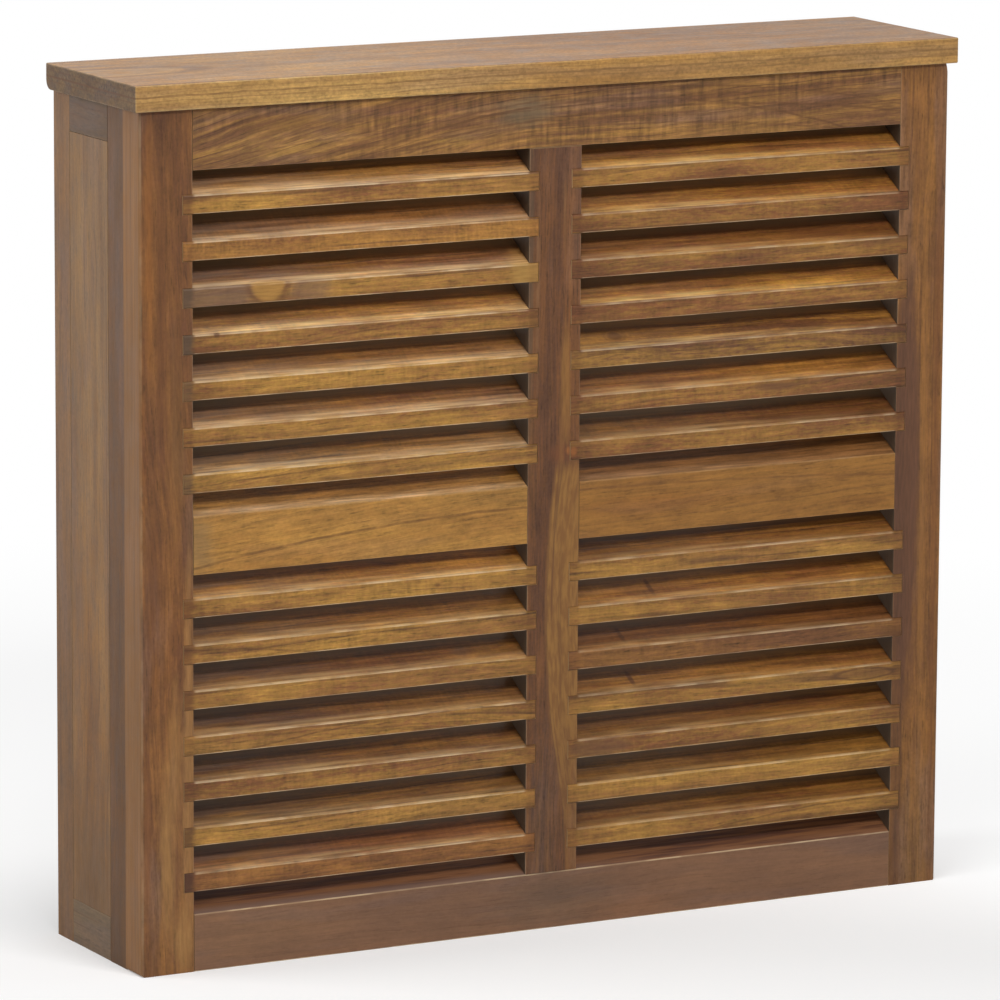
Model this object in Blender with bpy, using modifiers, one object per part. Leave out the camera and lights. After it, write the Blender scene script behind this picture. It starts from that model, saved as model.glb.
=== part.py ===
"""A louvred wooden radiator cover.

A framed front with two columns of fixed sloping louvres, two framed sides with
flush panels, and an overhanging top board. The back and the base are open, so
that the cover stands over a radiator and against a wall. Metres, +Z up, front
towards -Y, origin on the floor under the middle of the cover.
"""
import math

import bmesh
import bpy
from mathutils import Matrix, Vector

# Whole cover
OVERALL_WIDTH = 0.850
OVERALL_DEPTH = 0.190
OVERALL_HEIGHT = 0.810
FIT_GAP = 0.0003
CUT_OVERRUN = 0.004

# Top board
TOP_THICKNESS = 0.024
TOP_SIDE_OVERHANG = 0.0065
TOP_FRONT_OVERHANG = 0.006
TOP_ARRIS = 0.0012
TOP_REAR_ROUND = 0.009

# Front frame
FRAME_THICKNESS = 0.0345
STILE_WIDTH = 0.052
MULLION_WIDTH = 0.054
TOP_RAIL_HEIGHT = 0.055
MID_RAIL_HEIGHT = 0.0535
BOTTOM_RAIL_HEIGHT = 0.053
FRAME_ARRIS = 0.0008
OUTER_ARRIS = 0.003
EASED_CORNER_WIDTH = 0.003
EASED_CORNER_HEIGHT = 0.011
TENON_THICKNESS = 0.012
TENON_LENGTH = 0.030
TENON_SHOULDER = 0.008
MULLION_TENON_LENGTH = 0.018
MULLION_TENON_WIDTH = 0.030

# Louvres
LOUVRES_PER_BANK = 7
LOUVRE_FACE = 0.0175
LOUVRE_SLOPE = math.radians(30)
LOUVRE_LET_IN = 0.010
LOUVRE_PROUD = 0.0006
LOUVRE_ARRIS = 0.0013
END_GAP_SHARE = 0.87

# Side frames
SIDE_INSET = 0.001
SIDE_THICKNESS = 0.022
SIDE_STILE_WIDTH = 0.034
SIDE_TOP_RAIL_HEIGHT = 0.034
SIDE_BOTTOM_RAIL_HEIGHT = 0.041
SIDE_ARRIS = 0.0006
SIDE_TENON_THICKNESS = 0.008
SIDE_TENON_LENGTH = 0.016
PANEL_TONGUE = 0.006

# Back rail, and the cleats under the top board
BACK_RAIL_HEIGHT = 0.055
BACK_RAIL_THICKNESS = 0.020
BACK_TENON_LENGTH = 0.012
BACK_TENON_THICKNESS = 0.010
CLEAT_WIDTH = 0.020
CLEAT_HEIGHT = 0.020

# Dowels between the front frame and the sides
DOWEL_RADIUS = 0.004
DOWEL_IN_FRAME = 0.018
DOWEL_IN_SIDE = 0.022
DOWEL_HEIGHT_SHARES = {"low": 0.2, "high": 0.8}

# Screws that hold the top board
SCREW_LENGTH = 0.035
SCREW_SHANK_RADIUS = 0.0018
SCREW_HEAD_RADIUS = 0.0039
SCREW_HEAD_HEIGHT = 0.0026
SCREW_TIP_LENGTH = 0.004
RECESS_WIDTH = 0.0009
RECESS_DEPTH = 0.0013
RECESS_LENGTH_SHARE = 0.6
SCREW_NEAR_SHARE = 0.2

# How finely round forms are faceted, and how sharp an edge is smoothed or eased
ROUND_STEPS = 20
ARRIS_SEGMENTS = 2
OUTER_SEGMENTS = 4
MERGE_DISTANCE = 0.00005
SMOOTH_ANGLE = math.radians(40)
EASED_ANGLE = math.radians(50)

# Places and sizes that follow
CARCASS_HEIGHT = OVERALL_HEIGHT - TOP_THICKNESS - FIT_GAP
FRAME_EDGE = OVERALL_WIDTH / 2 - TOP_SIDE_OVERHANG
FRAME_FRONT = TOP_FRONT_OVERHANG - OVERALL_DEPTH / 2
FRAME_BACK = FRAME_FRONT + FRAME_THICKNESS
FRAME_MIDDLE = (FRAME_FRONT + FRAME_BACK) / 2
CARCASS_BACK = OVERALL_DEPTH / 2
SLOPE_RISE = FRAME_THICKNESS * math.tan(LOUVRE_SLOPE)
SLOPE_GAP = FIT_GAP / math.cos(LOUVRE_SLOPE)
STILE_INNER = FRAME_EDGE - STILE_WIDTH
MULLION_EDGE = MULLION_WIDTH / 2

TOP_RAIL_LOW = CARCASS_HEIGHT - TOP_RAIL_HEIGHT
BANK_HEIGHT = (TOP_RAIL_LOW - MID_RAIL_HEIGHT - BOTTOM_RAIL_HEIGHT) / 2
MID_RAIL_LOW = BOTTOM_RAIL_HEIGHT + BANK_HEIGHT
MID_RAIL_HIGH = MID_RAIL_LOW + MID_RAIL_HEIGHT
MID_TENON_LENGTH = MULLION_WIDTH / 3
AIR_HEIGHT = BANK_HEIGHT - LOUVRES_PER_BANK * LOUVRE_FACE
AIR_GAP = AIR_HEIGHT / (LOUVRES_PER_BANK - 1 + 2 * END_GAP_SHARE)
LOUVRE_PITCH = LOUVRE_FACE + AIR_GAP
TOP_TENON_HEIGHTS = (TOP_RAIL_LOW + SLOPE_RISE, CARCASS_HEIGHT - TENON_SHOULDER)
MID_TENON_HEIGHTS = (MID_RAIL_LOW + SLOPE_RISE, MID_RAIL_HIGH)
BOTTOM_TENON_HEIGHTS = (TENON_SHOULDER, BOTTOM_RAIL_HEIGHT - TENON_SHOULDER)

SIDE_OUTER = FRAME_EDGE - SIDE_INSET
SIDE_INNER = SIDE_OUTER - SIDE_THICKNESS
SIDE_MIDDLE = (SIDE_OUTER + SIDE_INNER) / 2
SIDE_FRONT = FRAME_BACK + FIT_GAP
SIDE_FIELD_FRONT = SIDE_FRONT + SIDE_STILE_WIDTH
SIDE_FIELD_BACK = CARCASS_BACK - SIDE_STILE_WIDTH
SIDE_FIELD_LOW = SIDE_BOTTOM_RAIL_HEIGHT
SIDE_FIELD_HIGH = CARCASS_HEIGHT - SIDE_TOP_RAIL_HEIGHT
BACK_RAIL_FRONT = CARCASS_BACK - BACK_RAIL_THICKNESS
CLEAT_LOW = CARCASS_HEIGHT - CLEAT_HEIGHT
CLEAT_OUTER = SIDE_INNER - FIT_GAP
CLEAT_INNER = CLEAT_OUTER - CLEAT_WIDTH

# Tones seen in the photograph: base colour, then roughness
TONES = {
    "golden": ((0.42, 0.24, 0.08), 0.42),
    "amber": ((0.36, 0.18, 0.06), 0.42),
    "russet": ((0.27, 0.12, 0.05), 0.42),
    "umber": ((0.18, 0.08, 0.04), 0.45),
    "side_brown": ((0.24, 0.15, 0.09), 0.50),
    "tan": ((0.45, 0.27, 0.14), 0.38),
    "bare_wood": ((0.55, 0.38, 0.20), 0.60),
    "steel": ((0.60, 0.60, 0.58), 0.35),
}
# The louvres' tones from the top down
LOUVRE_TONES = {
    "left": ("golden", "amber", "golden", "amber", "golden", "golden", "golden",
             "amber", "amber", "russet", "amber", "golden", "amber", "russet"),
    "right": ("golden", "amber", "russet", "golden", "russet", "golden", "russet",
              "russet", "amber", "russet", "russet", "russet", "amber", "amber"),
}
SIDES = {"left": -1, "right": 1}


def clear_scene():
    """Removes what the scene holds before the model is made."""
    for item in list(bpy.data.objects):
        bpy.data.objects.remove(item, do_unlink=True)


def make_collection(name):
    """Adds a collection to the scene."""
    collection = bpy.data.collections.new(name)
    bpy.context.scene.collection.children.link(collection)
    return collection


def make_material(name, tone):
    """Gives one piece a material of its own in one of the named tones."""
    colour, roughness = TONES[tone]
    material = bpy.data.materials.new(name)
    material.use_nodes = True
    shader = material.node_tree.nodes["Principled BSDF"]
    shader.inputs["Base Color"].default_value = (*colour, 1.0)
    shader.inputs["Roughness"].default_value = roughness
    shader.inputs["Metallic"].default_value = 1.0 if tone == "steel" else 0.0
    material.diffuse_color = (*colour, 1.0)
    return material


def block(low, high, bottom_rise=0.0, top_rise=0.0):
    """A box between two corners; its bottom and top climb towards the back by the rises."""
    return {"low": Vector(low), "high": Vector(high), "bottom_rise": bottom_rise, "top_rise": top_rise}


def mirrored(side, low, high):
    """A box drawn for the right, placed on the wanted side."""
    ends = sorted((side * low[0], side * high[0]))
    return block((ends[0], low[1], low[2]), (ends[1], high[1], high[2]))


def grown(box, gap):
    """The same box with every face moved out by the gap."""
    step = Vector((gap, gap, gap))
    return {**box, "low": box["low"] - step, "high": box["high"] + step}


def add_block(shape, box, rounds=()):
    """Adds a box to a shape and rounds some of its edges.

    An edge is named by the signs of its middle, seen from the box's own middle:
    (0, -1, 1) is the front top edge, which runs along X.
    """
    size = box["high"] - box["low"]
    middle = (box["high"] + box["low"]) / 2
    verts = bmesh.ops.create_cube(shape, size=1.0)["verts"]
    edges = {edge for vert in verts for edge in vert.link_edges}
    named = {}
    for edge in edges:
        centre = edge.verts[0].co + edge.verts[1].co
        named[tuple(round(part) for part in centre)] = edge
    for vert in verts:
        rise = box["top_rise"] if vert.co.z > 0 else box["bottom_rise"]
        lift = rise if vert.co.y > 0 else 0.0
        vert.co = Vector([part * length for part, length in zip(vert.co, size)]) + middle
        vert.co.z += lift
    shape.normal_update()
    for radius, segments, names in rounds:
        bmesh.ops.bevel(shape, geom=[named[name] for name in names], offset=radius,
                        segments=segments, profile=0.5, affect="EDGES")


def place_object(name, mesh, middle, collection):
    """Links an object that carries the mesh at the given middle."""
    placed = bpy.data.objects.new(name, mesh)
    placed.location = middle
    collection.objects.link(placed)
    return placed


def shape_to_object(name, shape, middle, collection):
    """Turns a shape drawn in place into an object with its origin at its middle."""
    bmesh.ops.translate(shape, verts=shape.verts, vec=-middle)
    mesh = bpy.data.meshes.new(name)
    shape.to_mesh(mesh)
    shape.free()
    return place_object(name, mesh, middle, collection)


def combine(target, cutter, operation):
    """Cuts a hidden shape from the target, or joins it on."""
    cutter.hide_render = True
    cutter.display_type = "WIRE"
    step = target.modifiers.new(cutter.name, "BOOLEAN")
    step.operation = operation
    step.solver = "EXACT"
    step.object = cutter


def combine_boxes(target, name, boxes, operation):
    """Cuts boxes from the target, or joins them on."""
    shape = bmesh.new()
    for box in boxes:
        add_block(shape, box)
    cutter = shape_to_object(name, shape, target.location.copy(), cutters)
    combine(target, cutter, operation)


def board(name, box, tone, rounds=(), tenons=(), cuts=()):
    """A board with rounded edges, its own tenons joined on and its neighbours' cut in."""
    shape = bmesh.new()
    add_block(shape, box, rounds)
    piece = shape_to_object(name, shape, (box["low"] + box["high"]) / 2, parts)
    if tenons:
        combine_boxes(piece, name + "_tenons", tenons, "UNION")
    if cuts:
        combine_boxes(piece, name + "_cuts", [grown(box, FIT_GAP) for box in cuts], "DIFFERENCE")
    piece.data.materials.append(make_material(name + "_finish", tone))
    piece.parent = cover
    return piece


def eased(radius, *names):
    """Edges that are just taken off by hand."""
    return (radius, ARRIS_SEGMENTS, names)


def front_tenon(x_ends, z_ends):
    """A tenon in the middle of the front frame's thickness."""
    half = TENON_THICKNESS / 2
    return block((min(x_ends), FRAME_MIDDLE - half, z_ends[0]),
                 (max(x_ends), FRAME_MIDDLE + half, z_ends[1]))


def rail_tenon(side, shoulder, length, z_ends):
    """The tenon at one end of a front rail, from inside its shoulder outwards."""
    return front_tenon((shoulder - side * CUT_OVERRUN, shoulder + side * length), z_ends)


def louvre_block(x_ends, low, front_run, back_run, gap):
    """The sloping bar of one louvre, whose front lower edge is at the height low."""
    slope = math.tan(LOUVRE_SLOPE)
    drop = front_run * slope
    rise = (FRAME_THICKNESS + front_run + back_run) * slope
    return block((min(x_ends), FRAME_FRONT - front_run, low - gap - drop),
                 (max(x_ends), FRAME_BACK + back_run, low + LOUVRE_FACE + gap - drop), rise, rise)


def louvre_heights():
    """The front lower edges of one column's louvres, from the top down."""
    heights = []
    for bank_low in (MID_RAIL_HIGH, BOTTOM_RAIL_HEIGHT):
        first = bank_low + END_GAP_SHARE * AIR_GAP
        heights += [first + LOUVRE_PITCH * step for step in reversed(range(LOUVRES_PER_BANK))]
    return heights


def cut_louvre_slots(piece, column, edge, inwards):
    """Cuts the slots in one edge of an upright that a column's louvre ends are let into."""
    shape = bmesh.new()
    deep = edge - inwards * (LOUVRE_LET_IN + FIT_GAP)
    past = edge + inwards * CUT_OVERRUN
    for low in louvre_heights():
        add_block(shape, louvre_block((deep, past), low, CUT_OVERRUN, CUT_OVERRUN, SLOPE_GAP))
    cutter = shape_to_object(f"{piece.name}_{column}_slots", shape, piece.location.copy(), cutters)
    combine(piece, cutter, "DIFFERENCE")


def ease_top_corner(stile):
    """Takes the outer top corner off the right stile at a slant, as the photograph shows."""
    shape = bmesh.new()
    add_block(shape, block((0, FRAME_FRONT - CUT_OVERRUN, -CUT_OVERRUN),
                           (STILE_WIDTH, FRAME_BACK + CUT_OVERRUN, EASED_CORNER_HEIGHT + CUT_OVERRUN)))
    lean = Matrix.Rotation(-math.atan2(EASED_CORNER_WIDTH, EASED_CORNER_HEIGHT), 4, "Y")
    corner = Matrix.Translation((FRAME_EDGE, 0, CARCASS_HEIGHT - EASED_CORNER_HEIGHT))
    bmesh.ops.transform(shape, matrix=corner @ lean, verts=shape.verts)
    combine(stile, shape_to_object("corner_wedge", shape, stile.location.copy(), cutters), "DIFFERENCE")


def build_front_stiles():
    """The two outer stiles, full height, with slots and mortises in their inner edges."""
    for word, side in SIDES.items():
        box = mirrored(side, (STILE_INNER, FRAME_FRONT, 0), (FRAME_EDGE, FRAME_BACK, CARCASS_HEIGHT))
        shoulder = side * (STILE_INNER - FIT_GAP)
        mortises = [rail_tenon(side, shoulder, TENON_LENGTH, TOP_TENON_HEIGHTS),
                    rail_tenon(side, shoulder, MID_TENON_LENGTH, MID_TENON_HEIGHTS),
                    rail_tenon(side, shoulder, TENON_LENGTH, BOTTOM_TENON_HEIGHTS)]
        rounds = [(OUTER_ARRIS, OUTER_SEGMENTS, [(side, -1, 0), (side, 0, -1)]),
                  eased(FRAME_ARRIS, (-side, -1, 0), (-side, 1, 0))]
        stile = board("front_stile_" + word, box, "russet", rounds, cuts=mortises)
        cut_louvre_slots(stile, word, side * STILE_INNER, -side)
        if word == "right":
            ease_top_corner(stile)


def mullion_tenons():
    """The mullion's tenons into the top rail and the bottom rail."""
    half = MULLION_TENON_WIDTH / 2
    top_shoulder = TOP_RAIL_LOW - SLOPE_GAP
    top_tip = TOP_RAIL_LOW + SLOPE_RISE / 2 + MULLION_TENON_LENGTH
    bottom_tip = BOTTOM_RAIL_HEIGHT + SLOPE_RISE / 2 - MULLION_TENON_LENGTH
    bottom_shoulder = BOTTOM_RAIL_HEIGHT + SLOPE_RISE + SLOPE_GAP
    return (front_tenon((-half, half), (top_shoulder - CUT_OVERRUN, top_tip)),
            front_tenon((-half, half), (bottom_tip, bottom_shoulder + CUT_OVERRUN)))


def build_mullion():
    """The middle upright, slotted on both edges; its ends follow the sloping rails."""
    box = block((-MULLION_EDGE, FRAME_FRONT, BOTTOM_RAIL_HEIGHT + SLOPE_GAP),
                (MULLION_EDGE, FRAME_BACK, TOP_RAIL_LOW - SLOPE_GAP), SLOPE_RISE, SLOPE_RISE)
    mortises = []
    for side in SIDES.values():
        shoulder = side * (MULLION_EDGE + FIT_GAP)
        mortises.append(rail_tenon(-side, shoulder, MID_TENON_LENGTH, MID_TENON_HEIGHTS))
    rounds = [eased(FRAME_ARRIS, (-1, -1, 0), (1, -1, 0), (-1, 1, 0), (1, 1, 0))]
    mullion = board("front_mullion", box, "umber", rounds, mullion_tenons(), mortises)
    for word, side in SIDES.items():
        cut_louvre_slots(mullion, word, side * MULLION_EDGE, side)


def end_tenons(end, heights):
    """The tenons at both ends of a rail that runs from stile to stile."""
    return [rail_tenon(side, side * end, TENON_LENGTH, heights) for side in SIDES.values()]


def build_front_rails():
    """The top and bottom rails, and a middle rail in each column."""
    end = STILE_INNER - FIT_GAP
    inner_end = MULLION_EDGE + FIT_GAP
    top_mortise, bottom_mortise = mullion_tenons()
    rounds = [eased(FRAME_ARRIS, (0, -1, -1), (0, -1, 1))]

    top = block((-end, FRAME_FRONT, TOP_RAIL_LOW), (end, FRAME_BACK, CARCASS_HEIGHT), bottom_rise=SLOPE_RISE)
    board("front_top_rail", top, "amber", rounds, end_tenons(end, TOP_TENON_HEIGHTS), [top_mortise])

    bottom = block((-end, FRAME_FRONT, 0), (end, FRAME_BACK, BOTTOM_RAIL_HEIGHT), top_rise=SLOPE_RISE)
    board("front_bottom_rail", bottom, "umber", rounds, end_tenons(end, BOTTOM_TENON_HEIGHTS),
          [bottom_mortise])

    for word, side in SIDES.items():
        low, high = sorted((side * inner_end, side * end))
        middle = block((low, FRAME_FRONT, MID_RAIL_LOW), (high, FRAME_BACK, MID_RAIL_HIGH),
                       bottom_rise=SLOPE_RISE, top_rise=SLOPE_RISE)
        tenons = [rail_tenon(side, side * end, MID_TENON_LENGTH, MID_TENON_HEIGHTS),
                  rail_tenon(-side, side * inner_end, MID_TENON_LENGTH, MID_TENON_HEIGHTS)]
        board("front_mid_rail_" + word, middle, "golden", rounds, tenons)


def build_louvres():
    """The fixed louvres, numbered from the top down in each column."""
    rounds = [eased(LOUVRE_ARRIS, (0, -1, 1), (0, -1, -1), (-1, -1, 0), (1, -1, 0)),
              eased(FRAME_ARRIS, (0, 1, 1), (0, 1, -1))]
    ends = (MULLION_EDGE - LOUVRE_LET_IN, STILE_INNER + LOUVRE_LET_IN)
    for word, side in SIDES.items():
        x_ends = (side * ends[0], side * ends[1])
        for number, low in enumerate(louvre_heights(), start=1):
            box = louvre_block(x_ends, low, LOUVRE_PROUD, 0, 0)
            tone = LOUVRE_TONES[word][(number - 1) % len(LOUVRE_TONES[word])]
            board(f"louvre_{word}_{number:02d}", box, tone, rounds)


def side_panel_tongue(side):
    """The thin tongue round a side panel, which sits in grooves in its frame."""
    half = SIDE_TENON_THICKNESS / 2
    reach = PANEL_TONGUE
    return mirrored(side, (SIDE_MIDDLE - half, SIDE_FIELD_FRONT - reach, SIDE_FIELD_LOW - reach),
                    (SIDE_MIDDLE + half, SIDE_FIELD_BACK + reach, SIDE_FIELD_HIGH + reach))


def side_rail_tenons(side, low, high):
    """The tenons at the front and back ends of a side rail."""
    half = SIDE_TENON_THICKNESS / 2
    return [mirrored(side, (SIDE_MIDDLE - half, SIDE_FIELD_FRONT - SIDE_TENON_LENGTH, low),
                     (SIDE_MIDDLE + half, SIDE_FIELD_FRONT + CUT_OVERRUN, high)),
            mirrored(side, (SIDE_MIDDLE - half, SIDE_FIELD_BACK - CUT_OVERRUN, low),
                     (SIDE_MIDDLE + half, SIDE_FIELD_BACK + SIDE_TENON_LENGTH, high))]


def back_rail_tenon(side):
    """The back rail's tenon into one side's back stile."""
    middle = (BACK_RAIL_FRONT + CARCASS_BACK) / 2
    half = BACK_TENON_THICKNESS / 2
    low = CARCASS_HEIGHT - BACK_RAIL_HEIGHT + TENON_SHOULDER
    high = CARCASS_HEIGHT - TENON_SHOULDER
    return mirrored(side, (SIDE_INNER - CUT_OVERRUN, middle - half, low),
                    (SIDE_INNER + BACK_TENON_LENGTH, middle + half, high))


def build_side(word, side):
    """One side: two stiles, two rails and a flush panel."""
    top_heights = (SIDE_FIELD_HIGH + TENON_SHOULDER, CARCASS_HEIGHT - TENON_SHOULDER)
    bottom_heights = (TENON_SHOULDER, SIDE_FIELD_LOW - TENON_SHOULDER)
    tenons = {"top": side_rail_tenons(side, *top_heights), "bottom": side_rail_tenons(side, *bottom_heights)}
    tongue = side_panel_tongue(side)
    upright = eased(SIDE_ARRIS, (side, -1, 0), (side, 1, 0), (-side, -1, 0), (-side, 1, 0))
    level = eased(SIDE_ARRIS, (side, 0, -1), (side, 0, 1), (-side, 0, -1), (-side, 0, 1))

    front = mirrored(side, (SIDE_INNER, SIDE_FRONT, 0), (SIDE_OUTER, SIDE_FIELD_FRONT, CARCASS_HEIGHT))
    board(f"side_{word}_front_stile", front, "side_brown", [upright],
          cuts=[tongue, tenons["top"][0], tenons["bottom"][0]])
    back = mirrored(side, (SIDE_INNER, SIDE_FIELD_BACK, 0), (SIDE_OUTER, CARCASS_BACK, CARCASS_HEIGHT))
    board(f"side_{word}_back_stile", back, "side_brown", [upright],
          cuts=[tongue, tenons["top"][1], tenons["bottom"][1], back_rail_tenon(side)])

    field_front = SIDE_FIELD_FRONT + FIT_GAP
    field_back = SIDE_FIELD_BACK - FIT_GAP
    for place, low, high in (("top", SIDE_FIELD_HIGH, CARCASS_HEIGHT), ("bottom", 0, SIDE_FIELD_LOW)):
        rail = mirrored(side, (SIDE_INNER, field_front, low), (SIDE_OUTER, field_back, high))
        board(f"side_{word}_{place}_rail", rail, "side_brown", [level], tenons[place], [tongue])
    panel = mirrored(side, (SIDE_INNER, field_front, SIDE_FIELD_LOW + FIT_GAP),
                     (SIDE_OUTER, field_back, SIDE_FIELD_HIGH - FIT_GAP))
    board(f"side_{word}_panel", panel, "side_brown", [upright], [tongue])


def build_back_rail():
    """The rail that ties the two sides together at the top of the open back."""
    end = SIDE_INNER - FIT_GAP
    box = block((-end, BACK_RAIL_FRONT, CARCASS_HEIGHT - BACK_RAIL_HEIGHT),
                (end, CARCASS_BACK, CARCASS_HEIGHT))
    tenons = [back_rail_tenon(side) for side in SIDES.values()]
    rounds = [eased(FRAME_ARRIS, (0, -1, -1), (0, -1, 1), (0, 1, -1), (0, 1, 1))]
    board("back_rail", box, "side_brown", rounds, tenons)


def build_cleats():
    """The cleats glued inside the frame, which the top board is screwed down to."""
    cleats = {}
    front = FRAME_BACK + FIT_GAP
    rounds = [eased(FRAME_ARRIS, (0, -1, -1), (0, 1, -1))]
    end = CLEAT_INNER - FIT_GAP
    across = block((-end, front, CLEAT_LOW), (end, front + CLEAT_WIDTH, CARCASS_HEIGHT))
    cleats["front"] = board("cleat_front", across, "bare_wood", rounds)
    for word, side in SIDES.items():
        along = mirrored(side, (CLEAT_INNER, front, CLEAT_LOW),
                         (CLEAT_OUTER, BACK_RAIL_FRONT - FIT_GAP, CARCASS_HEIGHT))
        cleats[word] = board("cleat_" + word, along, "bare_wood", [eased(FRAME_ARRIS, (-side, 0, -1))])
    return cleats


def round_bar(name, radius, start, end, collection):
    """A closed round bar along Y."""
    shape = bmesh.new()
    turn = Matrix.Translation((start + end) / 2) @ Matrix.Rotation(math.pi / 2, 4, "X")
    bmesh.ops.create_cone(shape, cap_ends=True, segments=ROUND_STEPS, radius1=radius,
                          radius2=radius, depth=(end - start).length, matrix=turn)
    return shape_to_object(name, shape, (start + end) / 2, collection)


def build_dowels():
    """Dowels that locate the front frame on the sides; both get blind holes for them."""
    for word, side in SIDES.items():
        for level, share in DOWEL_HEIGHT_SHARES.items():
            name = f"dowel_{word}_{level}"
            start = Vector((side * SIDE_MIDDLE, FRAME_BACK - DOWEL_IN_FRAME, share * CARCASS_HEIGHT))
            end = Vector((start.x, SIDE_FRONT + DOWEL_IN_SIDE, start.z))
            dowel = round_bar(name, DOWEL_RADIUS, start, end, parts)
            dowel.data.shade_smooth()
            dowel.data.set_sharp_from_angle(angle=SMOOTH_ANGLE)
            dowel.data.materials.append(make_material(name + "_finish", "bare_wood"))
            dowel.parent = cover
            step = Vector((0, FIT_GAP, 0))
            hole = round_bar(name + "_hole", DOWEL_RADIUS + FIT_GAP, start - step, end + step, cutters)
            for stile in (f"front_stile_{word}", f"side_{word}_front_stile"):
                combine(bpy.data.objects[stile], hole, "DIFFERENCE")


def turned(name, outline, place, collection):
    """A turned piece: its outline, from the top down, spun about the upright axis."""
    mesh = bpy.data.meshes.new(name)
    points = [(radius, 0.0, height) for radius, height in outline]
    mesh.from_pydata(points, [(step, step + 1) for step in range(len(points) - 1)], [])
    piece = place_object(name, mesh, place, collection)
    spin = piece.modifiers.new("turn", "SCREW")
    spin.angle = 2 * math.pi
    spin.steps = ROUND_STEPS
    spin.render_steps = ROUND_STEPS
    spin.use_smooth_shade = False
    spin.use_merge_vertices = True
    spin.merge_threshold = MERGE_DISTANCE
    return piece


def screw_outline(gap, below):
    """A countersunk screw's outline, grown by a gap and run on below its head."""
    shank = SCREW_SHANK_RADIUS + gap
    head = SCREW_HEAD_RADIUS + gap
    tip = SCREW_LENGTH + gap
    outline = [(0.0, tip), (shank, tip - SCREW_TIP_LENGTH), (shank, SCREW_HEAD_HEIGHT + gap), (head, 0.0)]
    if below:
        outline.append((head, -below))
    return outline + [(0.0, -below)]


def cut_recess(screw):
    """Cuts the crossed driving slots into a screw's head."""
    place = screw.location
    half = RECESS_WIDTH / 2
    reach = RECESS_LENGTH_SHARE * SCREW_HEAD_RADIUS
    slots = {"across": (reach, half), "along": (half, reach)}
    for word, (half_x, half_y) in slots.items():
        slot = block((place.x - half_x, place.y - half_y, place.z - CUT_OVERRUN),
                     (place.x + half_x, place.y + half_y, place.z + RECESS_DEPTH))
        combine_boxes(screw, f"{screw.name}_slot_{word}", [slot], "DIFFERENCE")


def screw_places(word, cleat):
    """Where a cleat's two screws stand, a share of its length from its ends."""
    middle = cleat.location
    if word == "front":
        reach = (CLEAT_INNER - FIT_GAP) * (1 - 2 * SCREW_NEAR_SHARE)
        return {"left": (-reach, middle.y), "right": (reach, middle.y)}
    reach = (BACK_RAIL_FRONT - FRAME_BACK) * (0.5 - SCREW_NEAR_SHARE)
    return {"front": (middle.x, middle.y - reach), "back": (middle.x, middle.y + reach)}


def build_screws(top, cleats):
    """The screws that go up through the cleats into the top board."""
    for word, cleat in cleats.items():
        for end, (x, y) in screw_places(word, cleat).items():
            name = f"screw_{word}_{end}"
            place = Vector((x, y, CLEAT_LOW))
            screw = turned(name, screw_outline(0.0, 0.0), place, parts)
            cut_recess(screw)
            screw.data.materials.append(make_material(name + "_finish", "steel"))
            screw.parent = cover
            hole = turned(name + "_hole", screw_outline(FIT_GAP, CUT_OVERRUN), place, cutters)
            combine(cleat, hole, "DIFFERENCE")
            combine(top, hole, "DIFFERENCE")


def build_top():
    """The top board, rounded along its lower back edge."""
    half = OVERALL_WIDTH / 2
    box = block((-half, -OVERALL_DEPTH / 2, OVERALL_HEIGHT - TOP_THICKNESS),
                (half, CARCASS_BACK, OVERALL_HEIGHT))
    top = board("top_board", box, "tan", [(TOP_REAR_ROUND, OUTER_SEGMENTS, [(0, 1, -1)])])
    ease = top.modifiers.new("arrises", "BEVEL")
    ease.width = TOP_ARRIS
    ease.segments = ARRIS_SEGMENTS
    ease.limit_method = "ANGLE"
    ease.angle_limit = EASED_ANGLE
    return top


clear_scene()
parts = make_collection("radiator_cover")
cutters = make_collection("cutters")
cover = bpy.data.objects.new("radiator_cover", None)
parts.objects.link(cover)

top_board = build_top()
build_front_stiles()
build_mullion()
build_front_rails()
build_louvres()
for side_word, side_sign in SIDES.items():
    build_side(side_word, side_sign)
build_back_rail()
screwed_cleats = build_cleats()
build_dowels()
build_screws(top_board, screwed_cleats)
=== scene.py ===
"""Looks of the wooden louvred radiator cover: stained timber, a white studio and the camera."""
import math
from collections import namedtuple

import bpy
from mathutils import Matrix, Vector


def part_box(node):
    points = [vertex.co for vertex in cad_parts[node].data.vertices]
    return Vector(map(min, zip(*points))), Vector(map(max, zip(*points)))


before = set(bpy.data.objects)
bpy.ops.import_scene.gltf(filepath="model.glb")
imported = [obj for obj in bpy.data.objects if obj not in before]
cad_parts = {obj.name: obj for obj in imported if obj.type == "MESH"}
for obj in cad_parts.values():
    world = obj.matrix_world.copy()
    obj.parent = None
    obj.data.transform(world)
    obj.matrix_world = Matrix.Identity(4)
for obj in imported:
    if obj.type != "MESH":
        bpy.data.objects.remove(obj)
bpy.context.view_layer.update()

# Camera, in metres and degrees, fitted to the cover's corners in the photograph
CAMERA_PLACE = Vector((-3.0338, -5.6526, 1.5816))
CAMERA_YAW = math.radians(28.16)
CAMERA_PITCH = math.radians(10.53)
CAMERA_ROLL = math.radians(0.34)
CAMERA_LENS = 252.6

# Lamps: place, size, watts
LAMP_TARGET = Vector((0.0, -0.09, 0.42))
KEY = {"azimuth": 8, "elevation": 37.5, "distance": 3.4, "size": (1.5, 0.6), "watts": 52}
OVERHEAD = {"azimuth": -55, "elevation": 64, "distance": 1.8, "size": (1.1, 0.8), "watts": 14}
SIDE_FILL = {"azimuth": -110, "elevation": 24, "distance": 2.6, "size": (1.2, 1.2), "watts": 19.5}
AMBIENT = 0.25
FRONT_DARKNESS = 0.08

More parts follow.
